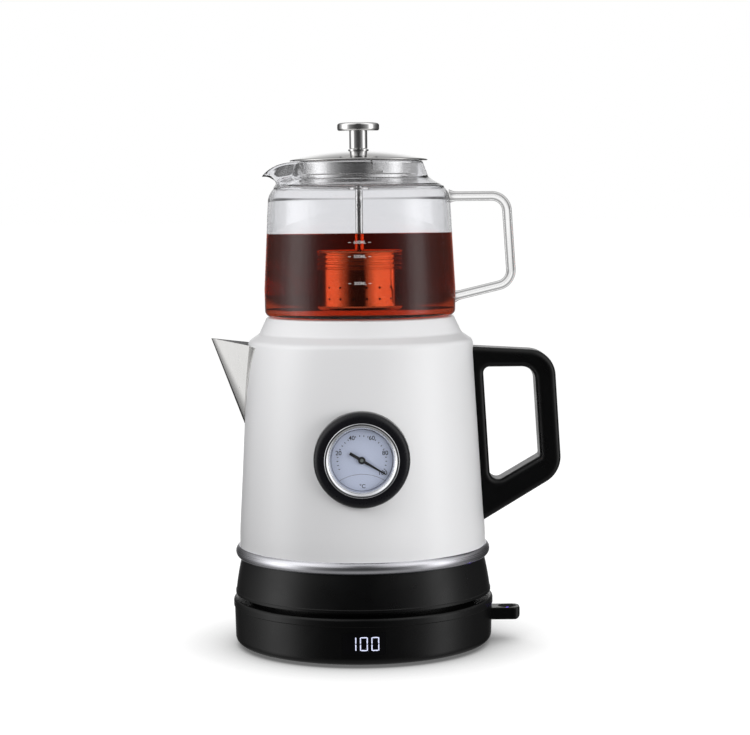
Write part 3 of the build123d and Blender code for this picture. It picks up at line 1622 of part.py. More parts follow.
with BuildPart() as infuser_basket:
    with BuildSketch(Plane.XY.offset(basket_foot)):
        Circle(basket_radius)
    extrude(amount=basket_height)
    fillet(infuser_basket.edges().group_by(Axis.Z)[0], basket_round)
    rim_face = infuser_basket.faces().sort_by(Axis.Z)[-1]
    offset(amount=-basket_wall, openings=rim_face)
    with BuildSketch(Plane.XY.offset(basket_foot)):
        Circle(basket_floor_hole_radius)
        for ring_share in (1, 2):
            with PolarLocations(basket_radius * ring_share / 3, basket_floor_hole_count * ring_share):
                Circle(basket_floor_hole_radius)
    extrude(amount=2 * basket_wall, mode=Mode.SUBTRACT)
    for row in range(basket_hole_rows):
        row_height = basket_foot + basket_row_pitch * (row + 1)
        with Locations((0, 0, row_height)):
            with PolarLocations(basket_radius, basket_hole_count):
                Cylinder(basket_hole_radius, 4 * basket_wall, rotation=(0, 90, 0), mode=Mode.SUBTRACT)
save(infuser_basket.part, "infuser_basket")
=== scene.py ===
from math import cos, pi, radians, sin, tan

import bmesh
import bpy
from mathutils import Matrix, Vector


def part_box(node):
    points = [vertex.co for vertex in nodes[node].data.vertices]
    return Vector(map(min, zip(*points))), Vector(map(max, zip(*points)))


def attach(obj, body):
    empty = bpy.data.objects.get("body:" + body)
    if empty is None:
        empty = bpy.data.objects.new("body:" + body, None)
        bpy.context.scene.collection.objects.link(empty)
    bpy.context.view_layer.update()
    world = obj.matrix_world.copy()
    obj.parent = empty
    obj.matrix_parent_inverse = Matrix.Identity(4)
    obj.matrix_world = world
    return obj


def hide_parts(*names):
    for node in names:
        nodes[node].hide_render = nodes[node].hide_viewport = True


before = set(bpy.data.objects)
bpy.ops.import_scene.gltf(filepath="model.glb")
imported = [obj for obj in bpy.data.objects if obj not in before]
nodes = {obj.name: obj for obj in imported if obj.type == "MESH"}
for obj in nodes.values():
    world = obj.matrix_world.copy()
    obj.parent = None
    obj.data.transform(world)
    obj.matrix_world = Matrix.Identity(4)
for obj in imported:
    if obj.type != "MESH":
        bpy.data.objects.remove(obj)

# Automatic tea maker. The frame is in metres; sizes here are written in millimetres and
# multiplied by MM. Spouts point to -X, handles to +X, thermometer and display to -Y.
MM = 0.001

for spare in ("Cube", "Light", "Camera"):
    if spare in bpy.data.objects:
        bpy.data.objects.remove(bpy.data.objects[spare])
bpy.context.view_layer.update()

scene = bpy.context.scene
scene.view_settings.view_transform = "Standard"

# --------------------------------------------------------------------------------------
# Camera
# --------------------------------------------------------------------------------------
CAMERA_DISTANCE = 1304 * MM
CAMERA_HEIGHT = 281.4 * MM
CAMERA_LENS = 96.0
CAMERA_PITCH = radians(4.417)       # looking down
CAMERA_YAW = radians(0.407)         # looking past the object's right side
CAMERA_ROLL = radians(-0.6)         # the object's top leans left

camera = bpy.data.objects.new("camera", bpy.data.cameras.new("camera"))
camera.data.lens = CAMERA_LENS
camera.matrix_world = (
    Matrix.Translation((0, -CAMERA_DISTANCE, CAMERA_HEIGHT))
    @ Matrix.Rotation(-CAMERA_YAW, 4, "Z")
    @ Matrix.Rotation(pi / 2 - CAMERA_PITCH, 4, "X")
    @ Matrix.Rotation(CAMERA_ROLL, 4, "Z")
)
scene.collection.objects.link(camera)
scene.camera = camera


# --------------------------------------------------------------------------------------
# Node materials
# --------------------------------------------------------------------------------------
class Finish:
    """A material with one Principled shader, and helpers for its procedural detail."""

    def __init__(self, name, **sockets):
        self.material = bpy.data.materials.new(name)
        self.material.use_nodes = True
        self.tree = self.material.node_tree
        self.tree.nodes.clear()
        self.output = self.node("ShaderNodeOutputMaterial")
        self.shader = self.node("ShaderNodeBsdfPrincipled", **sockets)
        self.link(self.shader.outputs["BSDF"], self.output.inputs["Surface"])
        self.coordinates = self.node("ShaderNodeTexCoord").outputs["Object"]
        self.normal = None

    def node(self, kind, **sockets):
        """A node whose input sockets are set by name; underscores stand for spaces."""
        made = self.tree.nodes.new(kind)
        for key, value in sockets.items():
            made.inputs[key.replace("_", " ")].default_value = value
        return made

    def link(self, source, target):
        self.tree.links.new(source, target)

    def math(self, operation, a, b=None):
        """A math node; a and b are sockets or numbers."""
        made = self.tree.nodes.new("ShaderNodeMath")
        made.operation = operation
        for index, value in enumerate((a, b)):
            if value is None:
                continue
            if isinstance(value, (int, float)):
                made.inputs[index].default_value = value
            else:
                self.link(value, made.inputs[index])
        return made.outputs[0]

    def turned(self):
        """Coordinates of a turned form: the distance from Z and the height."""
        x, y, z = self.axes()
        joined = self.node("ShaderNodeCombineXYZ")
        self.link(self.distance(x, y), joined.inputs[0])
        self.link(z, joined.inputs[2])
        return joined.outputs[0]

    def stretched(self, scale, coordinates=None):
        """Coordinates multiplied along each axis."""
        made = self.node("ShaderNodeMapping", Scale=scale)
        self.link(coordinates or self.coordinates, made.inputs["Vector"])
        return made.outputs[0]

    def noise(self, scale, detail=3.0, coordinates=None):
        made = self.node("ShaderNodeTexNoise", Scale=scale, Detail=detail)
        self.link(coordinates or self.coordinates, made.inputs["Vector"])
        return made.outputs["Fac"]

    def ramp(self, factor, stops):
        """A colour ramp through (place, colour or grey) stops."""
        made = self.tree.nodes.new("ShaderNodeValToRGB")
        elements = made.color_ramp.elements
        while len(elements) < len(stops):
            elements.new(0.5)
        for element, (place, tone) in zip(elements, stops):
            element.position = place
            element.color = (tone, tone, tone, 1) if isinstance(tone, (int, float)) else (*tone, 1)
        self.link(factor, made.inputs[0])
        return made.outputs[0]

    def paint(self, factor, stops):
        self.link(self.ramp(factor, stops), self.shader.inputs["Base Color"])

    def gloss(self, factor, low, high):
        self.link(self.ramp(factor, [(0.3, low), (0.7, high)]), self.shader.inputs["Roughness"])

    def bump(self, height, distance, strength=1.0):
        """Adds relief from a height socket; distance is in metres."""
        made = self.node("ShaderNodeBump", Distance=distance, Strength=strength)
        self.link(height, made.inputs["Height"])
        if self.normal is not None:
            self.link(self.normal, made.inputs["Normal"])
        self.normal = made.outputs[0]
        self.link(self.normal, self.shader.inputs["Normal"])

    def brushed_round(self):
        """Turns the anisotropy's direction round the Z axis."""
        around = self.tree.nodes.new("ShaderNodeTangent")
        around.direction_type = "RADIAL"
        around.axis = "Z"
        self.link(around.outputs[0], self.shader.inputs["Tangent"])

    def axes(self, source=None):
        """The X, Y and Z sockets of a vector socket."""
        split = self.node("ShaderNodeSeparateXYZ")
        self.link(source or self.coordinates, split.inputs[0])
        return split.outputs

    def distance(self, first, second):
        """The length of a pair of coordinates."""
        square = self.math("ADD", self.math("POWER", first, 2), self.math("POWER", second, 2))
        return self.math("SQRT", square)

    def show_mix(self, factor, first, second):
        """Shows two shaders, mixed by a factor, as the surface."""
        mixed = self.tree.nodes.new("ShaderNodeMixShader")
        self.link(factor, mixed.inputs[0])
        self.link(first.outputs[0], mixed.inputs[1])
        self.link(second.outputs[0], mixed.inputs[2])
        self.link(mixed.outputs[0], self.output.inputs["Surface"])

    def in_shadow(self):
        """1 for the rays that look for lamps, 0 for the others."""
        return self.node("ShaderNodeLightPath").outputs["Is Shadow Ray"]


STEEL_TONES = ((0.60, 0.595, 0.585), (0.67, 0.665, 0.655))
BRIGHT_TONES = ((0.78, 0.775, 0.77), (0.84, 0.835, 0.83))
RING_TONES = ((0.66, 0.66, 0.70), (0.73, 0.73, 0.77))


def enamel():
    """White baked enamel, hardly uneven in tone and gloss."""
    finish = Finish("white_enamel", Coat_Weight=0.3, Coat_Roughness=0.06, IOR=1.5)
    finish.paint(finish.noise(9, 2), [(0.0, (0.798, 0.798, 0.808)), (1.0, (0.812, 0.812, 0.824))])
    finish.link(
        finish.ramp(finish.noise(25, 2), [(0.0, 0.27), (1.0, 0.30)]), finish.shader.inputs["Roughness"]
    )
    return finish.material


def moulded_black():
    """Satin black plastic with a fine moulded grain."""
    finish = Finish("moulded_black", IOR=1.48, Specular_IOR_Level=0.32)
    finish.paint(finish.noise(25, 4), [(0.3, (0.0015, 0.0015, 0.0016)), (0.7, (0.0024, 0.0024, 0.0026))])
    finish.gloss(finish.noise(90, 4), 0.26, 0.33)
    finish.bump(finish.noise(2600, 3), 0.00002, 0.3)
    return finish.material


def deep_black():
    """Smooth black plastic of the thermometer's housing."""
    finish = Finish("deep_black", Specular_IOR_Level=0.35)
    finish.paint(finish.noise(60), [(0.0, (0.005, 0.005, 0.007)), (1.0, (0.008, 0.008, 0.010))])
    finish.gloss(finish.noise(900), 0.26, 0.34)
    return finish.material


def gloss_black():
    finish = Finish("gloss_black", IOR=1.5)
    finish.paint(finish.noise(40), [(0.3, (0.0012, 0.0012, 0.0016)), (0.7, (0.002, 0.002, 0.0026))])
    finish.gloss(finish.noise(120), 0.12, 0.18)
    return finish.material


def grey_plastic():
    finish = Finish("grey_plastic", IOR=1.48)
    finish.paint(finish.noise(50), [(0.3, (0.30, 0.30, 0.31)), (0.7, (0.36, 0.36, 0.37))])
    finish.gloss(finish.noise(90), 0.4, 0.5)
    finish.bump(finish.noise(2000), 0.00002, 0.3)
    return finish.material


def lit(name, tone, strength):
    """A light guide that glows."""
    finish = Finish(name, Roughness=0.3, Emission_Color=(*tone, 1), Emission_Strength=strength)
    finish.paint(finish.noise(300), [(0.3, [0.7 * part for part in tone]), (0.7, tone)])
    return finish.material


def circuit_board():
    finish = Finish("circuit_board", Roughness=0.4)
    finish.paint(finish.noise(500, 4), [(0.35, (0.01, 0.09, 0.03)), (0.65, (0.03, 0.16, 0.05))])
    finish.bump(finish.noise(900), 0.0001, 0.5)
    return finish.material


def rubber():
    finish = Finish("black_rubber", IOR=1.45)
    finish.paint(finish.noise(60), [(0.3, (0.010, 0.010, 0.010)), (0.7, (0.016, 0.016, 0.016))])
    finish.gloss(finish.noise(150), 0.65, 0.8)
    finish.bump(finish.noise(1500), 0.00005, 0.5)
    return finish.material


def silicone():
    finish = Finish("clear_silicone", Transmission_Weight=0.6, IOR=1.41)
    finish.paint(finish.noise(50), [(0.3, (0.72, 0.73, 0.74)), (0.7, (0.80, 0.81, 0.82))])
    finish.gloss(finish.noise(90), 0.3, 0.45)
    return finish.material


def metal(name, tones, roughness, lines, relief, spread=0.0):
    """Steel or brass with fine tool lines round the Z axis; spread widens its highlights."""
    finish = Finish(name, Metallic=1.0, Anisotropic=spread, Anisotropic_Rotation=0.25)
    streaks = finish.noise(lines, 4, finish.turned())
    finish.paint(finish.noise(35, 3), [(0.3, tones[0]), (0.7, tones[1])])
    finish.gloss(streaks, *roughness)
    finish.bump(streaks, 0.00001, relief)
    if spread:
        finish.brushed_round()
    return finish.material


def lid_steel(name, spread):
    """Steel that is polished on flat parts and brushed round on upright ones."""
    finish = Finish(name, Metallic=1.0, Anisotropic=spread, Anisotropic_Rotation=0.25)
    finish.paint(finish.noise(35, 3), [(0.0, STEEL_TONES[0]), (1.0, STEEL_TONES[1])])
    facing = finish.axes(finish.node("ShaderNodeNewGeometry").outputs["Normal"])
    flat = finish.math("ABSOLUTE", facing[2])
    finish.link(finish.ramp(flat, [(0.3, 0.13), (0.6, 0.09)]), finish.shader.inputs["Roughness"])
    finish.bump(finish.noise(1100, 3, finish.turned()), 0.00001, 0.05)
    finish.brushed_round()
    return finish.material


def hub_paint():
    """The needle's black hub, with a bare pin in its middle."""
    finish = Finish("hub_black", Roughness=0.4)
    x, _, z = finish.axes()
    height = finish.math("SUBTRACT", z, HUB_HEIGHT)
    away = finish.math("DIVIDE", finish.distance(x, height), 3 * MM)
    finish.paint(away, [(0.30, (0.16, 0.18, 0.17)), (0.38, (0.006, 0.006, 0.008))])
    return finish.material


SPOUT_TOP = 201 * MM
FOLD_WIDTH = 3.6 * MM       # half the width of the spout's fold, at its tip
FOLD_OPENING = 0.11         # how much wider it gets for each step down
FOLD_DEPTH = 0.34           # share of that width


def sheet_steel():
    """Folded steel sheet: an upright grain, a rounded fold along Y = 0 and painted shade on its inside
    faces.
    """
    finish = Finish("sheet_steel", Metallic=1.0)
    _, y, z = finish.axes()
    finish.gloss(finish.noise(900, 4, finish.stretched((1.0, 1.0, 0.02))), 0.24, 0.28)
    # The fold is tight at the spout's tip and opens to a round one at its foot
    below_tip = finish.math("SUBTRACT", SPOUT_TOP, z)
    width = finish.math("ADD", FOLD_WIDTH, finish.math("MULTIPLY", below_tip, FOLD_OPENING))
    nearness = finish.math("MAXIMUM", finish.math("SUBTRACT", width, finish.math("ABSOLUTE", y)), 0.0)
    depth = finish.math("MULTIPLY", finish.math("POWER", nearness, 2), -FOLD_DEPTH)
    finish.bump(finish.math("DIVIDE", depth, width), 1.0)
    # Painted shade: faces that look into the V get a dark grey base colour, for the shade inside the
    # spout
    facing = finish.axes(finish.node("ShaderNodeNewGeometry").outputs["True Normal"])
    shaded_inside = finish.math("LESS_THAN", finish.math("MULTIPLY", facing[1], y), -0.002)
    finish.paint(shaded_inside, [(0.0, STEEL_TONES[1]), (1.0, (0.20, 0.20, 0.20))])
    return finish.material


def glass(name, tint, waviness, index=1.42):
    """Clear glass with the slight waviness of a blown wall."""
    finish = Finish(name, Transmission_Weight=1.0, IOR=index, Roughness=0.0)
    low = [0.992 * part for part in tint]
    finish.paint(finish.noise(10, 2), [(0.3, low), (0.7, tint)])
    finish.bump(finish.noise(22, 2), 0.0004, waviness)
    see_through(finish)
    return finish.material


def see_through(finish):
    """Lets lamp light straight through a clear piece, instead of a black shadow."""
    clear = finish.node("ShaderNodeBsdfTransparent", Color=(0.93, 0.93, 0.93, 1))
    finish.show_mix(finish.in_shadow(), finish.shader, clear)


def rod_glass():
    """A solid glass rod: clear in its middle, with painted dark lines near its edges in place of those
    that its strong lens bends in.
    """
    finish = Finish("rod_glass", Transmission_Weight=1.0, IOR=1.47, Roughness=0.0)
    finish.paint(finish.noise(10, 2), [(0.0, (0.90, 0.90, 0.91)), (1.0, (0.93, 0.93, 0.94))])
    facing = finish.node("ShaderNodeLayerWeight", Blend=0.5).outputs["Facing"]
    clear = finish.node("ShaderNodeBsdfTransparent")
    # Painted shade by how far the surface turns from the viewer: dark bands in what shows through the
    # rod, and more of the glass itself towards its edges
    finish.link(finish.ramp(facing, [
        (0.00, 0.97), (0.05, 0.95), (0.12, 0.55), (0.24, 0.52), (0.36, 0.93), (0.52, 0.88), (0.72, 0.45),
        (1.0, 0.30),
    ]), clear.inputs["Color"])
    share = finish.ramp(facing, [(0.05, 0.10), (0.75, 0.22), (1.0, 0.6)])
    unshadowed = finish.math("SUBTRACT", 1.0, finish.in_shadow())
    finish.show_mix(finish.math("MULTIPLY", share, unshadowed), clear, finish.shader)
    return finish.material


def tea_liquid():
    """Tea that bends light at its top; at the jug's wall the wet glass does that."""
    finish = Finish("tea", Transmission_Weight=1.0, IOR=1.333, Roughness=0.0)
    finish.paint(finish.noise(30), [(0.3, (0.98, 0.97, 0.97)), (0.7, (1.0, 1.0, 1.0))])
    top = finish.math("GREATER_THAN", finish.axes()[2], (TEA_LEVEL - 0.02) * MM)
    clear = finish.node("ShaderNodeBsdfTransparent", Color=(1, 1, 1, 1))
    unshadowed = finish.math("SUBTRACT", 1.0, finish.in_shadow())
    finish.show_mix(finish.math("MULTIPLY", top, unshadowed), clear, finish.shader)
    drink = finish.node("ShaderNodeVolumeAbsorption", Color=(0.86, 0.36, 0.08, 1), Density=50.0)
    finish.link(drink.outputs[0], finish.output.inputs["Volume"])
    return finish.material


def dial_paint():
    finish = Finish("dial_face", Roughness=0.5)
    finish.paint(finish.noise(90), [(0.0, (0.55, 0.60, 0.76)), (1.0, (0.58, 0.63, 0.79))])
    return finish.material


def chrome():
    """Bright chrome with hairline marks."""
    finish = Finish("chrome", Metallic=1.0)
    finish.paint(finish.noise(200, 3), [(0.0, (0.72, 0.73, 0.76)), (1.0, (0.78, 0.79, 0.82))])
    finish.gloss(finish.noise(900), 0.16, 0.24)
    return finish.material


def needle_paint():
    finish = Finish("needle_black", Roughness=0.45)
    finish.paint(finish.noise(200), [(0.3, (0.004, 0.004, 0.006)), (0.7, (0.007, 0.007, 0.010))])
    return finish.material


def print_ink(name, tone):
    finish = Finish(name, Roughness=0.45)
    finish.paint(finish.noise(400), [(0.3, [0.94 * part for part in tone]), (0.7, tone)])
    return finish.material


hub_low, hub_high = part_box("needle_hub")
HUB_HEIGHT = (hub_low[2] + hub_high[2]) / 2
JUG_TINT = (0.885, 0.888, 0.905)
CLEAR_TINT = (0.985, 0.99, 0.988)
finishes = {
    "white_paint": enamel(),
    "black_plastic": moulded_black(),
    "gloss_black": gloss_black(),
    "grey_plastic": grey_plastic(),
    "lit_white": lit("lit_white", (0.70, 0.74, 0.95), 0.60),
    "lit_violet": lit("lit_violet", (0.20, 0.10, 0.85), 7.0),
    "circuit_board": circuit_board(),
    "black_rubber": rubber(),
    "clear_silicone": silicone(),
    "brass": metal("brass", ((0.72, 0.52, 0.24), (0.80, 0.60, 0.30)), (0.2, 0.3), 900, 0.2),
    "zinc_steel": metal("zinc_steel", ((0.50, 0.51, 0.53), (0.60, 0.61, 0.62)), (0.25, 0.35), 700, 0.3),
    "polished_steel": metal("polished_steel", STEEL_TONES, (0.07, 0.10), 1100, 0.05, 0.4),
    "brushed_steel": metal("brushed_steel", STEEL_TONES, (0.20, 0.26), 900, 0.15, 0.5),
    "clear_glass": glass("clear_glass", JUG_TINT, 0.05),
    "gauge_glass": glass("gauge_glass", CLEAR_TINT, 0.0),
    "dial_face": dial_paint(),
    "needle_black": needle_paint(),
}
for piece in nodes.values():
    piece.data.materials[0] = finishes[piece.data.materials[0].name]
nodes["kettle_spout"].data.materials[0] = sheet_steel()
nodes["lid_cover"].data.materials[0] = lid_steel("domed_steel", 0.3)
for name in ("lid_spring_band", "lid_pan"):
    nodes[name].data.materials[0] = lid_steel("band_steel", 0.75)
nodes["lid_knob"].data.materials[0] = metal("turned_steel", BRIGHT_TONES, (0.13, 0.17), 1100, 0.03, 0.7)
steeped_steel = metal("steeped_steel", STEEL_TONES, (0.05, 0.08), 1100, 0.03)
for name in ("infuser_basket", "infuser_cap"):
    nodes[name].data.materials[0] = steeped_steel
nodes["needle_hub"].data.materials[0] = hub_paint()
nodes["gauge_housing"].data.materials[0] = deep_black()
nodes["trim_ring"].data.materials[0] = metal("ring_steel", RING_TONES, (0.24, 0.30), 1100, 0.03)


# --------------------------------------------------------------------------------------
# Pieces in mesh code
# --------------------------------------------------------------------------------------
def add_piece(name, mesh, body, material):
    """An object that rides on a body and takes its finish from a material slot."""
    piece = bpy.data.objects.new(name, mesh)
    scene.collection.objects.link(piece)
    mesh.materials.clear()
    mesh.materials.append(material)
    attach(piece, body)
    return piece


def rounded_line(corners, steps=8):
    """Points along a line of (radius, height, rounding) corners, with arcs at the rounded ones."""
    points = []
    for index, (r, z, rounding) in enumerate(corners):
        here = Vector((r, z))
        if rounding <= 0 or index in (0, len(corners) - 1):
            points.append(here)
            continue
        back = (Vector(corners[index - 1][:2]) - here).normalized()
        ahead = (Vector(corners[index + 1][:2]) - here).normalized()
        half = back.angle(ahead) / 2
        reach = rounding / tan(half)
        middle = here + (back + ahead).normalized() * (rounding / sin(half))
        start = here + back * reach - middle
        sweep = start.angle_signed(here + ahead * reach - middle)
        for step in range(steps + 1):
            turn = -sweep * step / steps
            points.append(middle + Vector((
                start.x * cos(turn) - start.y * sin(turn),
                start.x * sin(turn) + start.y * cos(turn),
            )))
    return points


def smooth_mesh(name, work):
    """A smooth mesh from a finished bmesh, with its normals outwards."""
    bmesh.ops.recalc_face_normals(work, faces=work.faces)
    mesh = bpy.data.meshes.new(name)
    work.to_mesh(mesh)
    work.free()
    mesh.polygons.foreach_set("use_smooth", [True] * len(mesh.polygons))
    return mesh


def skin(work, loops, closed=False):
    """Faces between loops of vertices, and flat caps unless the last loop joins the first."""
    count = len(loops[0])
    for lower, upper in zip(loops, loops[1:] + loops[:1] if closed else loops[1:]):
        for index in range(count):
            after = (index + 1) % count
            work.faces.new((lower[index], lower[after], upper[after], upper[index]))
    if not closed:
        work.faces.new(loops[-1])
        work.faces.new(list(reversed(loops[0])))


def turned_mesh(name, rings, segments=240, closed=False):
    """A form of rings, each a function from an angle to (radius, height), that ends in flat
    caps, or with closed, joins its last ring to its first."""
    work = bmesh.new()
    loops = []
    for ring in rings:
        loop = []
        for index in range(segments):
            angle = 2 * pi * index / segments
            r, z = ring(angle)
            loop.append(work.verts.new((r * cos(angle) * MM, r * sin(angle) * MM, z * MM)))
        loops.append(loop)
    skin(work, loops, closed)
    return smooth_mesh(name, work)


def constant_ring(point):
    return lambda angle: (point.x, point.y)


# Jug: sizes in millimetres, placed by the CAD node's box
jug_low, jug_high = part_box("jug_glass")
JUG_FOOT = jug_low[2] / MM
JUG_RIM = jug_high[2] / MM
JUG_WALL = 2.2
JUG_FLOOR = 3.0
JUG_FOOT_RADIUS = 62.0
JUG_BELLY_RADIUS = 62.3
JUG_BELLY = JUG_FOOT + 17.6         # the wall leans inwards above this
JUG_NECK_RADIUS = 41.9
JUG_CENTRE = 0.5                    # radius of the caps that close a turned form at its axis
RIM_ROUNDING = 0.8
TEA_LEVEL = 268.5                   # above the table
JUG_LINE = [
    (JUG_FOOT_RADIUS, JUG_FOOT, 4.0),
    (JUG_BELLY_RADIUS, JUG_BELLY, 0),
    (58.9, JUG_RIM - 18.2, 14.0),
    (45.3, JUG_RIM - 10.2, 3.0),
    (JUG_NECK_RADIUS, JUG_RIM, 0),
]
OUTER_LIP = [(55.5, JUG_RIM - 16.2), (53.9, JUG_RIM - 12.8), (58.3, JUG_RIM - 9.5), (62.9, JUG_RIM - 9.0)]
INNER_LIP = [(53.3, JUG_RIM - 16.6), (51.9, JUG_RIM - 12.6), (56.2, JUG_RIM - 8.0), (59.3, JUG_RIM - 7.3)]
LIP_HALF_ANGLE = 30                 # degrees from the lip's middle line to its straight sides
LIP_ROUNDING = 3                    # degrees over which its tip is rounded


def wall_line(corners, height):
    """Radius on a line of corners at a height, on its straight stretches."""
    for (r0, z0, _), (r1, z1, _) in zip(corners, corners[1:]):
        if z0 <= height <= z1:
            return r0 + (r1 - r0) * (height - z0) / (z1 - z0)
    return corners[-1][0]


def spaced(points, count):
    """Count points at even steps along a line of points."""
    lengths = [0.0]
    for first, second in zip(points, points[1:]):
        lengths.append(lengths[-1] + (second - first).length)
    chosen = []
    segment = 0
    for index in range(count):
        target = lengths[-1] * index / (count - 1)
        while segment < len(points) - 2 and lengths[segment + 1] < target:
            segment += 1
        span = lengths[segment + 1] - lengths[segment]
        share = (target - lengths[segment]) / span if span else 0
        chosen.append(points[segment].lerp(points[segment + 1], min(share, 1)))
    return chosen


def curved(corners, steps=12):
    """Points on a smooth line through (radius, height) corners."""
    places = [Vector(corner) for corner in corners]
    places = [places[0] * 2 - places[1]] + places + [places[-1] * 2 - places[-2]]
    points = []
    for before, start, end, after in zip(places, places[1:], places[2:], places[3:]):
        for step in range(steps):
            t = step / steps
            points.append(0.5 * (
                2 * start + (end - before) * t + (2 * before - 5 * start + 4 * end - after) * t ** 2
                + (3 * start - before - 3 * end + after) * t ** 3
            ))
    points.append(places[-2])
    return points


def soft_max(first, second, power=24):
    """The larger of two lengths, with a soft passage where they are alike."""
    return (first ** power + second ** power) ** (1 / power)


def lip_share(angle, rim_radius, lip_radius):
    """How far the rim has moved from the round neck to the lip, seen from above: 0 to 1."""
    aside = abs(180 - angle * 180 / pi)
    spread = min((aside ** 2 + LIP_ROUNDING ** 2) ** 0.5 + LIP_HALF_ANGLE - LIP_ROUNDING, 90)
    side = lip_radius / 2               # how far from the axis the straight sides pass
    reached = soft_max(rim_radius, side / sin(radians(spread)))
    start = soft_max(rim_radius, side)
    return max(0.0, (reached - start) / (lip_radius - start))


def outer_share(angle):
    return lip_share(angle, JUG_NECK_RADIUS, OUTER_LIP[-1][0])


def inner_share(angle):
    return lip_share(angle, JUG_NECK_RADIUS - JUG_WALL, INNER_LIP[-1][0])


def morphing_ring(round_point, lip_point, share):
    """A ring that is round but for the lip, where it goes out to another point of its section."""
    def ring(angle):
        amount = share(angle)
        return (
            round_point.x + amount * (lip_point.x - round_point.x),
            round_point.y + amount ** 2.7 * (lip_point.y - round_point.y),
        )
    return ring


NECK_RINGS = 26


def make_jug():
    """Blown glass with a shoulder and neck, a fire-polished rim and a pulled lip."""
    top = JUG_RIM
    floor = JUG_FOOT + JUG_FLOOR
    outside = [(JUG_CENTRE, JUG_FOOT, 0), *JUG_LINE[:-1], (JUG_NECK_RADIUS, top - RIM_ROUNDING, 0)]
    inside = [
        (JUG_CENTRE, floor, 0), (JUG_FOOT_RADIUS - JUG_WALL, floor, 2.2),
        (JUG_BELLY_RADIUS - JUG_WALL, JUG_BELLY, 0),
        (wall_line(JUG_LINE, TEA_LEVEL) - JUG_WALL, TEA_LEVEL, 0), (56.7, top - 18.9, 11.8),
        (43.1, top - 10.9, 4.0), (JUG_NECK_RADIUS - JUG_WALL, top - RIM_ROUNDING, 0),
    ]
    walls = []
    for corners, lip_line, share in ((outside, OUTER_LIP, outer_share), (inside, INNER_LIP, inner_share)):
        points = rounded_line(corners, 12)
        foot = [point for point in points if point.y <= lip_line[0][1]]
        neck = [Vector(lip_line[0])] + [point for point in points if point.y > lip_line[0][1] + 0.3]
        wall = [constant_ring(point) for point in foot]
        pairs = zip(spaced(neck, NECK_RINGS), spaced(curved(lip_line), NECK_RINGS))
        wall += [morphing_ring(*pair, share) for pair in pairs]
        walls.append(wall)
    bead = [
        morphing_ring(Vector((41.5, top - 0.2)), Vector((62.3, top - 8.1)), outer_share),
        morphing_ring(Vector((40.8, top)), Vector((61.2, top - 7.4)), outer_share),
        morphing_ring(Vector((40.1, top - 0.2)), Vector((60.2, top - 7.2)), outer_share),
    ]
    rings = walls[0] + bead + walls[1][::-1]
    mesh = turned_mesh("jug_vessel", rings, 360)
    piece = add_piece("jug_vessel", mesh, "jug", finishes["clear_glass"])
    # Where tea wets the wall, light bends only as far as from glass into tea
    mesh.materials.append(glass("wet_glass", (0.94, 0.94, 0.95), 0.0, 1.065))
    for face in mesh.polygons:
        place = face.center / MM
        inner = place.xy.length < wall_line(JUG_LINE, place.z) - JUG_WALL / 2
        if inner and floor - 0.1 < place.z < TEA_LEVEL:
            face.material_index = 1
    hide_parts("jug_glass")


make_jug()


ROD_RADIUS = 3.1
ROD_RINGS = 160
ROD_SIDES = 48
WELD_FLARE = 1.5            # added to the rod's radius at its ends
WELD_LENGTH = 5.5
HANDLE_LINE = [             # distance from the axis, height and rounding of its corners
    (58.4, JUG_RIM - 22.9, 0),
    (95.6, JUG_RIM - 22.9, 10),
    (99.0, JUG_RIM - 79.1, 10),
    (60.4, JUG_RIM - 88.1, 0),
]


def make_rod():
    """The jug's handle: a bent glass rod with small welds at its ends."""
    line = spaced(rounded_line(HANDLE_LINE, 14), ROD_RINGS)
    work = bmesh.new()
    loops = []
    for index, point in enumerate(line):
        ahead = (line[min(index + 1, ROD_RINGS - 1)] - line[max(index - 1, 0)]).normalized()
        end = min((point - line[0]).length, (point - line[-1]).length)
        radius = ROD_RADIUS + WELD_FLARE * max(0.0, 1 - end / WELD_LENGTH) ** 2
        loop = []
        for step in range(ROD_SIDES):
            turn = 2 * pi * step / ROD_SIDES
            aside = radius * cos(turn)
            place = Vector((point.x - ahead.y * aside, radius * sin(turn), point.y + ahead.x * aside))
            loop.append(work.verts.new(place * MM))
        loops.append(loop)
    skin(work, loops)
    mesh = smooth_mesh("jug_rod", work)
    piece = add_piece("jug_rod", mesh, "jug", rod_glass())
    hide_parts("jug_handle")


make_rod()


LID_SHEET = 0.8
LID_BORE = 4.3
LID_SKIRT_RADIUS = 38.3
LID_GAP = 0.3               # between the lid and the jug's rim
LID_EDGE = 0.9              # height of the dome's outer edge
LID_DOME = 1.8              # power of its curve: 1 is a cone, 2 a bowl
LID_STEPS = 24


def make_lid():
    """Lid cover spun from one sheet: a dome that runs to the rim, and a skirt."""
    low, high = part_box("lid_cover")
    rim = high[0] / MM
    top = high[2] / MM
    foot = low[2] / MM
    seat = JUG_RIM + LID_GAP
    inner = LID_SKIRT_RADIUS - LID_SHEET
    drop = top - seat - LID_EDGE
    dome = []
    for step in range(LID_STEPS + 1):
        out = step / LID_STEPS
        dome.append((LID_BORE + (rim - LID_BORE) * out, top - drop * out ** LID_DOME))
    line = dome + [
        (rim, seat + 0.3), (rim - 0.5, seat), (LID_SKIRT_RADIUS, seat), (LID_SKIRT_RADIUS, foot),
        (inner, foot), (inner, seat),
    ]
    line += [(r, z - LID_SHEET) for r, z in reversed(dome) if r < inner - 0.5]
    mesh = turned_mesh("lid_dome", [constant_ring(Vector(point)) for point in line], 240, closed=True)
    piece = add_piece("lid_dome", mesh, "lid", nodes["lid_cover"].data.materials[0])
    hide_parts("lid_cover")


make_lid()


TEA_OVERLAP = 0.15          # of the tea into the glass, so that no air shows between them


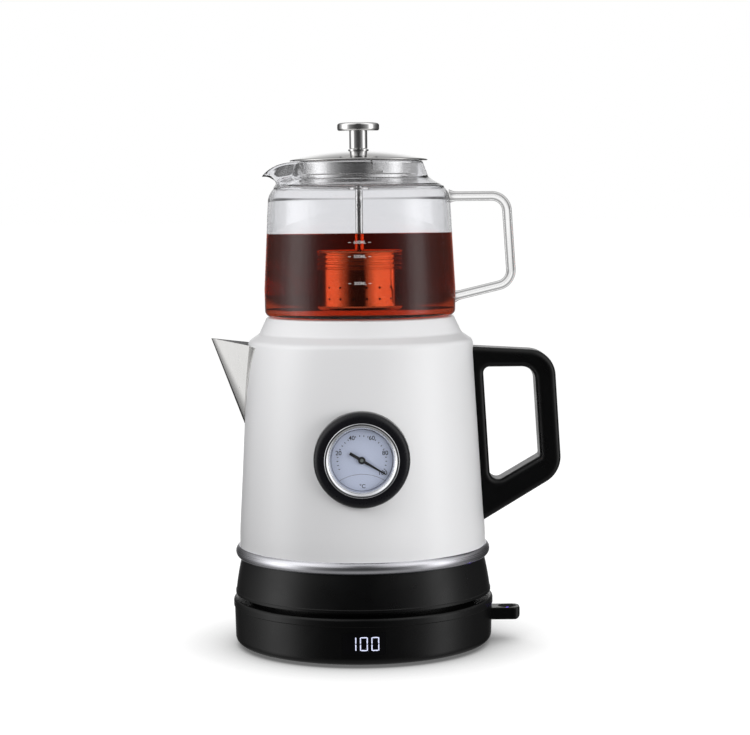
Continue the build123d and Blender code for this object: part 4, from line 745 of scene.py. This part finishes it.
def make_tea():
    """The tea, up to its level."""
    inset = JUG_WALL - TEA_OVERLAP
    foot = JUG_FOOT + JUG_FLOOR - TEA_OVERLAP
    corners = [
        (JUG_CENTRE, foot, 0),
        (JUG_FOOT_RADIUS - inset, foot, 2.0),
        (JUG_BELLY_RADIUS - inset, JUG_BELLY, 0),
        (wall_line(JUG_LINE, TEA_LEVEL) - inset, TEA_LEVEL, 0),
        (JUG_CENTRE, TEA_LEVEL, 0),
    ]
    mesh = turned_mesh("tea", [constant_ring(point) for point in rounded_line(corners)])
    add_piece("tea", mesh, "jug", tea_liquid())


make_tea()


def flat_print(name, shapes, place, body, material):
    """One mesh of flat faces, each a list of (u, v) points in millimetres, put in place."""
    work = bmesh.new()
    for face in shapes:
        work.faces.new([work.verts.new(place(u, v)) for u, v in face])
    mesh = bpy.data.meshes.new(name)
    work.to_mesh(mesh)
    work.free()
    add_piece(name, mesh, body, material)


def glyph_faces(body, size, centre, spread=1.0):
    """The faces of a short text, as (u, v) points, centred."""
    curve = bpy.data.curves.new("glyphs", "FONT")
    curve.body = body
    curve.size = size
    curve.offset = 0.012 * size
    curve.align_x = "CENTER"
    curve.align_y = "CENTER"
    carrier = bpy.data.objects.new("glyphs", curve)
    scene.collection.objects.link(carrier)
    drawn = bpy.data.meshes.new_from_object(carrier)
    faces = [
        [
            (drawn.vertices[vertex].co.x * spread + centre[0], drawn.vertices[vertex].co.y + centre[1])
            for vertex in polygon.vertices
        ]
        for polygon in drawn.polygons
    ]
    bpy.data.objects.remove(carrier)
    bpy.data.curves.remove(curve)
    bpy.data.meshes.remove(drawn)
    return faces


def bar_face(angle, inner, outer, width):
    """A radial bar, as one face of (u, v) points."""
    along = (cos(radians(angle)), sin(radians(angle)))
    side = (-along[1] * width / 2, along[0] * width / 2)
    return [
        (along[0] * inner + side[0], along[1] * inner + side[1]),
        (along[0] * inner - side[0], along[1] * inner - side[1]),
        (along[0] * outer - side[0], along[1] * outer - side[1]),
        (along[0] * outer + side[0], along[1] * outer + side[1]),
    ]


def arc_faces(centre, radius, width, start, end, steps=48):
    """Faces along an arc, in degrees."""
    inner, outer = radius - width / 2, radius + width / 2
    faces = []
    for step in range(steps):
        corners = []
        for share, r in ((0, inner), (0, outer), (1, outer), (1, inner)):
            angle = radians(start + (end - start) * (step + share) / steps)
            corners.append((centre[0] + r * cos(angle), centre[1] + r * sin(angle)))
        faces.append(corners)
    return faces


# Thermometer: printed scale and bezel
dial_low, dial_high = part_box("gauge_dial")
DIAL_HEIGHT = (dial_low[2] + dial_high[2]) / 2
DIAL_FACE = dial_low[1] - 0.05 * MM
SCALE_RADIUS = 15.0
SCALE_START = 211.4         # degrees from +X at 0 degrees C
SCALE_STEP = 48.7           # degrees for each 20 degrees C
MARKS_PER_STEP = 5
MARK_LENGTH = 1.0
BEZEL_BORE = 20.4
BEZEL_CREST = 21.9          # radius where its cone starts
BEZEL_WINDOW = 19.5         # radius where its cone ends at the glass


def on_dial(u, v):
    """Puts print on the dial, just clear of it."""
    return (u * MM, DIAL_FACE, DIAL_HEIGHT + v * MM)


def make_scale():
    """Numbers, marks and fine lines of the dial."""
    ink = print_ink("dial_ink", (0.02, 0.02, 0.03))
    inner, outer = SCALE_RADIUS - MARK_LENGTH / 2, SCALE_RADIUS + MARK_LENGTH / 2
    numbers = []
    marks = []
    for index, degrees_c in enumerate((0, 20, 40, 60, 80, 100)):
        angle = SCALE_START - SCALE_STEP * index
        if degrees_c:
            centre = (SCALE_RADIUS * cos(radians(angle)), SCALE_RADIUS * sin(radians(angle)))
            numbers += glyph_faces(str(degrees_c), 3.8, centre)
        if degrees_c < 100:
            for step in range(1, MARKS_PER_STEP):
                marks.append(bar_face(angle - step * SCALE_STEP / MARKS_PER_STEP, inner, outer, 0.45))
    numbers += glyph_faces("\u00b0C", 3.5, (0.2, -16.2))
    flat_print("dial_numbers", numbers, on_dial, "kettle", ink)
    flat_print("dial_marks", marks, on_dial, "kettle", ink)
    lines = arc_faces((0, 0), 19.0, 0.3, 0, 360, 120) + arc_faces((0, -35.2), 26.5, 0.22, 58.5, 121.5)
    flat_print("dial_lines", lines, on_dial, "kettle", print_ink("line_ink", (0.10, 0.10, 0.15)))


make_scale()


bezel_low, bezel_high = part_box("gauge_bezel")


def make_bezel():
    """Chrome bezel with a broad cone down to the glass."""
    back = -bezel_high[1] / MM
    front = -bezel_low[1] / MM
    outer = bezel_high[0] / MM
    line = [
        (BEZEL_BORE, back, 0), (outer, back, 0), (outer, front, 0.7), (BEZEL_CREST, front, 0.3),
        (BEZEL_WINDOW, front - 1.6, 0), (BEZEL_WINDOW, front - 2.2, 0), (BEZEL_BORE, front - 2.2, 0),
    ]
    rings = [constant_ring(point) for point in rounded_line(line, 5)]
    mesh = turned_mesh("dial_bezel", rings, 180, closed=True)
    mesh.transform(Matrix.Translation((0, 0, DIAL_HEIGHT)) @ Matrix.Rotation(pi / 2, 4, "X"))
    piece = add_piece("dial_bezel", mesh, "kettle", chrome())
    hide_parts("gauge_bezel")


make_bezel()


PRINT_RELIEF = 0.04
VOLUME_MARKS = ((600, 263.3), (500, 254.5), (300, 237.8))   # millilitres and height above the table


def on_jug(height):
    """A placing function for print on the jug's wall round a height, just clear of the glass."""
    radius = wall_line(JUG_LINE, height) + PRINT_RELIEF
    slope = wall_line(JUG_LINE, height + 1) - wall_line(JUG_LINE, height)

    def place(u, v):
        r = radius + slope * v
        angle = u / radius
        return (r * sin(angle) * MM, -r * cos(angle) * MM, (height + v) * MM)

    return place


def make_volume_marks():
    """White numbers on the jug, each between two dashes."""
    ink = print_ink("white_ink", (0.50, 0.48, 0.48))
    for amount, height in VOLUME_MARKS:
        faces = glyph_faces(f"{amount}ML", 2.7, (0.2, 0), 1.05)
        for side in (-1, 1):
            dash = [(side * 5.4, -0.2), (side * 7.2, -0.2), (side * 7.2, 0.2), (side * 5.4, 0.2)]
            faces.append(dash[::side])
        flat_print(f"volume_mark_{amount}", faces, on_jug(height), "jug", ink)


make_volume_marks()


# --------------------------------------------------------------------------------------
# Studio: floor, world and lamps
# --------------------------------------------------------------------------------------
FLOOR_SIZE = 120.0
FLOOR_TONE = 0.30           # for the camera
FLOOR_GLOW = 0.92           # added for the camera, so that the floor is white
FLOOR_BOUNCE = 0.10         # the tone for light that the floor sends up to the object
SHADOW_REACH = 0.085
SHADOW_LEAN = (0.42, 0.30, 0.86)    # where the floor looks for light: to the right and behind


def make_floor():
    """A pale floor, white but for the soft shadow round the object's foot."""
    mesh = bpy.data.meshes.new("floor")
    half = FLOOR_SIZE / 2
    corners = [(-half, -half, 0), (half, -half, 0), (half, half, 0), (-half, half, 0)]
    mesh.from_pydata(corners, [], [(0, 1, 2, 3)])
    floor = bpy.data.objects.new("floor", mesh)
    scene.collection.objects.link(floor)
    finish = Finish("pale_floor", Roughness=0.9, Specular_IOR_Level=0.0)
    seen = finish.node("ShaderNodeLightPath").outputs["Is Camera Ray"]
    open_sky = finish.node("ShaderNodeAmbientOcclusion", Distance=SHADOW_REACH, Normal=SHADOW_LEAN)
    open_sky.samples = 24
    shade = finish.ramp(open_sky.outputs["AO"], [(0.20, 0.15), (0.45, 0.36), (0.70, 0.72), (0.95, 1.0)])
    tone = finish.math("MULTIPLY", shade, FLOOR_TONE)
    base = finish.tree.nodes.new("ShaderNodeMix")
    base.data_type = "RGBA"
    base.inputs[6].default_value = (FLOOR_BOUNCE, FLOOR_BOUNCE, FLOOR_BOUNCE, 1)
    finish.link(seen, base.inputs["Factor"])
    finish.link(tone, base.inputs[7])
    finish.link(base.outputs[2], finish.shader.inputs["Base Color"])
    glow = finish.node("ShaderNodeEmission", Color=(1, 1, 1, 1))
    brightness = finish.math("MULTIPLY", finish.math("MULTIPLY", shade, seen), FLOOR_GLOW)
    finish.link(brightness, glow.inputs["Strength"])
    both = finish.tree.nodes.new("ShaderNodeAddShader")
    finish.link(finish.shader.outputs["BSDF"], both.inputs[0])
    finish.link(glow.outputs[0], both.inputs[1])
    finish.link(both.outputs[0], finish.output.inputs["Surface"])
    mesh.materials.append(finish.material)
    floor.visible_glossy = False
    floor.visible_transmission = False


AMBIENT = 0.37              # world light on matt surfaces
TOP_TONE = 3.0              # the radiance that a tone of 1 stands for in the ramps
# What glossy surfaces see round the horizon and higher up: (degrees from the front towards
# the handles, radiance)
HORIZON = [
    (-180, 1.10), (-172, 0.90), (-163, 0.10), (-148, 0.04), (-134, 0.10), (-115, 0.32), (-100, 0.90),
    (-88, 1.90), (-78, 2.00), (-68, 1.50), (-60, 0.75), (-52, 0.36), (-44, 0.22), (-30, 0.12),
    (-14, 0.06), (0, 0.05), (14, 0.06), (28, 0.12), (38, 0.22), (48, 0.32), (57, 0.60), (63, 1.30),
    (72, 1.90), (81, 1.65), (90, 0.70), (98, 0.32), (115, 0.12), (148, 0.03),
    (163, 0.10), (172, 0.90), (180, 1.10),
]
UPWARDS = [
    (-180, 0.14), (-160, 0.16), (-125, 0.55), (-105, 1.15), (-88, 1.45), (-60, 1.35), (-45, 1.05),
    (-28, 0.80), (-17, 0.55), (-12, 0.14), (0, 0.10), (13, 0.12), (18, 0.50), (35, 0.85), (50, 1.25),
    (70, 1.35), (88, 0.95), (105, 0.60), (125, 0.38), (160, 0.16), (180, 0.14),
]
ZENITH = 0.80
NADIR = 0.50
LOW_SIDES = 0.65            # share of that left below the horizon
# What is seen through glass and tea just below the horizon: bright sides and a dark back
SIDE_GLOW = 2.6
DARK_BACK = 0.08
CLEAR_BACK = 0.72           # what is seen through clear glass behind the object


def make_world():
    """White behind the object for the camera; a studio with two soft boxes for reflections."""
    world = bpy.data.worlds.new("studio")
    world.use_nodes = True
    scene.world = world
    tree = world.node_tree
    tree.nodes.clear()

    def node(kind, operation=None):
        made = tree.nodes.new(kind)
        if operation:
            made.operation = operation
        return made

    def link(source, target):
        tree.links.new(source, target)

    def ramp(source, span, stops):
        """A grey ramp of (value, tone) stops over a span of values."""
        scaled = node("ShaderNodeMapRange")
        scaled.inputs["From Min"].default_value = span[0]
        scaled.inputs["From Max"].default_value = span[1]
        link(source, scaled.inputs["Value"])
        made = node("ShaderNodeValToRGB")
        elements = made.color_ramp.elements
        while len(elements) < len(stops):
            elements.new(0.5)
        for element, (value, tone) in zip(elements, stops):
            element.position = (value - span[0]) / (span[1] - span[0])
            element.color = (tone / TOP_TONE, tone / TOP_TONE, tone / TOP_TONE, 1)
        link(scaled.outputs[0], made.inputs[0])
        return made.outputs[0]

    def blend(factor, first, second):
        made = node("ShaderNodeMix")
        made.data_type = "RGBA"
        link(factor, made.inputs["Factor"])
        for value, socket in ((first, made.inputs[6]), (second, made.inputs[7])):
            if isinstance(value, float):
                socket.default_value = (value / TOP_TONE, value / TOP_TONE, value / TOP_TONE, 1)
            else:
                link(value, socket)
        return made.outputs[2]

    def share(source, start, end):
        """A factor that goes from 0 to 1 as a value goes from start to end."""
        made = node("ShaderNodeMapRange")
        made.inputs["From Min"].default_value = start
        made.inputs["From Max"].default_value = end
        link(source, made.inputs["Value"])
        return made.outputs[0]

    def product(first, second):
        made = node("ShaderNodeMath", "MULTIPLY")
        link(first, made.inputs[0])
        link(second, made.inputs[1])
        return made.outputs[0]

    output = node("ShaderNodeOutputWorld")
    path = node("ShaderNodeLightPath")
    direction = node("ShaderNodeTexCoord")
    split = node("ShaderNodeSeparateXYZ")
    link(direction.outputs["Generated"], split.inputs[0])
    x, y, z = split.outputs
    forwards = node("ShaderNodeMath", "MULTIPLY")
    forwards.inputs[1].default_value = -1
    link(y, forwards.inputs[0])
    turn = node("ShaderNodeMath", "ARCTAN2")
    link(x, turn.inputs[0])
    link(forwards.outputs[0], turn.inputs[1])
    full = radians(180)
    horizon = ramp(turn.outputs[0], (-full, full), [(radians(angle), tone) for angle, tone in HORIZON])
    upwards = ramp(turn.outputs[0], (-full, full), [(radians(angle), tone) for angle, tone in UPWARDS])
    # Glossy rays: the horizon, then higher up, overhead and underneath
    level = blend(share(z, 0.22, 0.50), horizon, upwards)
    level = blend(share(z, 0.75, 0.95), level, ZENITH)
    studio_tone = blend(share(z, -0.40, -0.70), level, NADIR)
    soft_sides = node("ShaderNodeMix")
    soft_sides.data_type = "RGBA"
    soft_sides.blend_type = "MULTIPLY"
    link(share(z, -0.12, -0.30), soft_sides.inputs["Factor"])
    link(studio_tone, soft_sides.inputs[6])
    soft_sides.inputs[7].default_value = (LOW_SIDES, LOW_SIDES, LOW_SIDES, 1)
    studio_tone = soft_sides.outputs[2]
    # Rays through glass and tea: white behind the object, dark just below the horizon, with
    # bright sides that light the tea
    steep = node("ShaderNodeMath", "ABSOLUTE")
    link(z, steep.inputs[0])
    low_down = product(share(z, -0.012, -0.022), share(z, -0.13, -0.09))
    sides = node("ShaderNodeMath", "ADD")
    link(share(turn.outputs[0], radians(-30), radians(-95)), sides.inputs[0])
    link(share(turn.outputs[0], radians(12), radians(48)), sides.inputs[1])
    table = product(product(sides.outputs[0], share(y, 0.50, 0.33)), low_down)
    clear_tone = blend(product(share(y, 0.10, 0.50), share(z, -0.03, 0.0)), studio_tone, CLEAR_BACK)
    clear_tone = blend(share(y, 0.86, 0.94), clear_tone, 1.0)
    clear_tone = blend(product(share(y, 0.60, 0.80), low_down), clear_tone, DARK_BACK)
    clear_tone = blend(share(steep.outputs[0], 0.14, 0.22), clear_tone, 0.95)
    clear_tone = blend(table, clear_tone, SIDE_GLOW)

    def background(tone, strength):
        made = node("ShaderNodeBackground")
        made.inputs["Strength"].default_value = strength
        if tone is not None:
            link(tone, made.inputs["Color"])
        else:
            made.inputs["Color"].default_value = (1, 1, 1, 1)
        return made.outputs[0]

    shader = background(None, AMBIENT)
    for ray, seen in (
        ("Is Glossy Ray", background(studio_tone, TOP_TONE)),
        ("Is Transmission Ray", background(clear_tone, TOP_TONE)),
        ("Is Camera Ray", background(None, 1.0)),
    ):
        chosen = node("ShaderNodeMixShader")
        link(path.outputs[ray], chosen.inputs[0])
        link(shader, chosen.inputs[1])
        link(seen, chosen.inputs[2])
        shader = chosen.outputs[0]
    link(shader, output.inputs["Surface"])


def make_lamp(name, place, target, width, height, strength):
    """A soft box that faces the target and lights matt surfaces only."""
    data = bpy.data.lights.new(name, "AREA")
    data.shape = "RECTANGLE"
    data.size = width
    data.size_y = height
    data.energy = strength * width * height * pi
    lamp = bpy.data.objects.new(name, data)
    scene.collection.objects.link(lamp)
    facing = (Vector(target) - Vector(place)).to_track_quat("-Z", "Y")
    lamp.matrix_world = Matrix.Translation(place) @ facing.to_matrix().to_4x4()
    lamp.visible_camera = False
    lamp.visible_glossy = False
    lamp.visible_transmission = False


# Name, place, target, width, height and strength
LAMPS = [
    ("left_box", (-0.32, -0.20, 0.30), (0, 0, 0.2), 0.2, 0.2, 7.0),
    ("right_box", (0.60, -0.40, 0.25), (0, 0, 0.15), 0.3, 0.3, 5.8),
    ("low_right_box", (0.35, -0.50, 0.12), (0, 0, 0.12), 0.3, 0.3, 3.7),
    ("far_right_box", (1.186, -0.455, 0.45), (0, 0, 0.22), 0.45, 1.2, 1.6),
    ("back_box", (-0.5, 0.9, 0.5), (0, 0, 0.2), 0.6, 0.6, 3.2),
    ("back_right_box", (0.8, 0.7, 0.4), (0, 0, 0.2), 0.5, 0.5, 2.6),
]

make_floor()
make_world()
for lamp in LAMPS:
    make_lamp(*lamp)
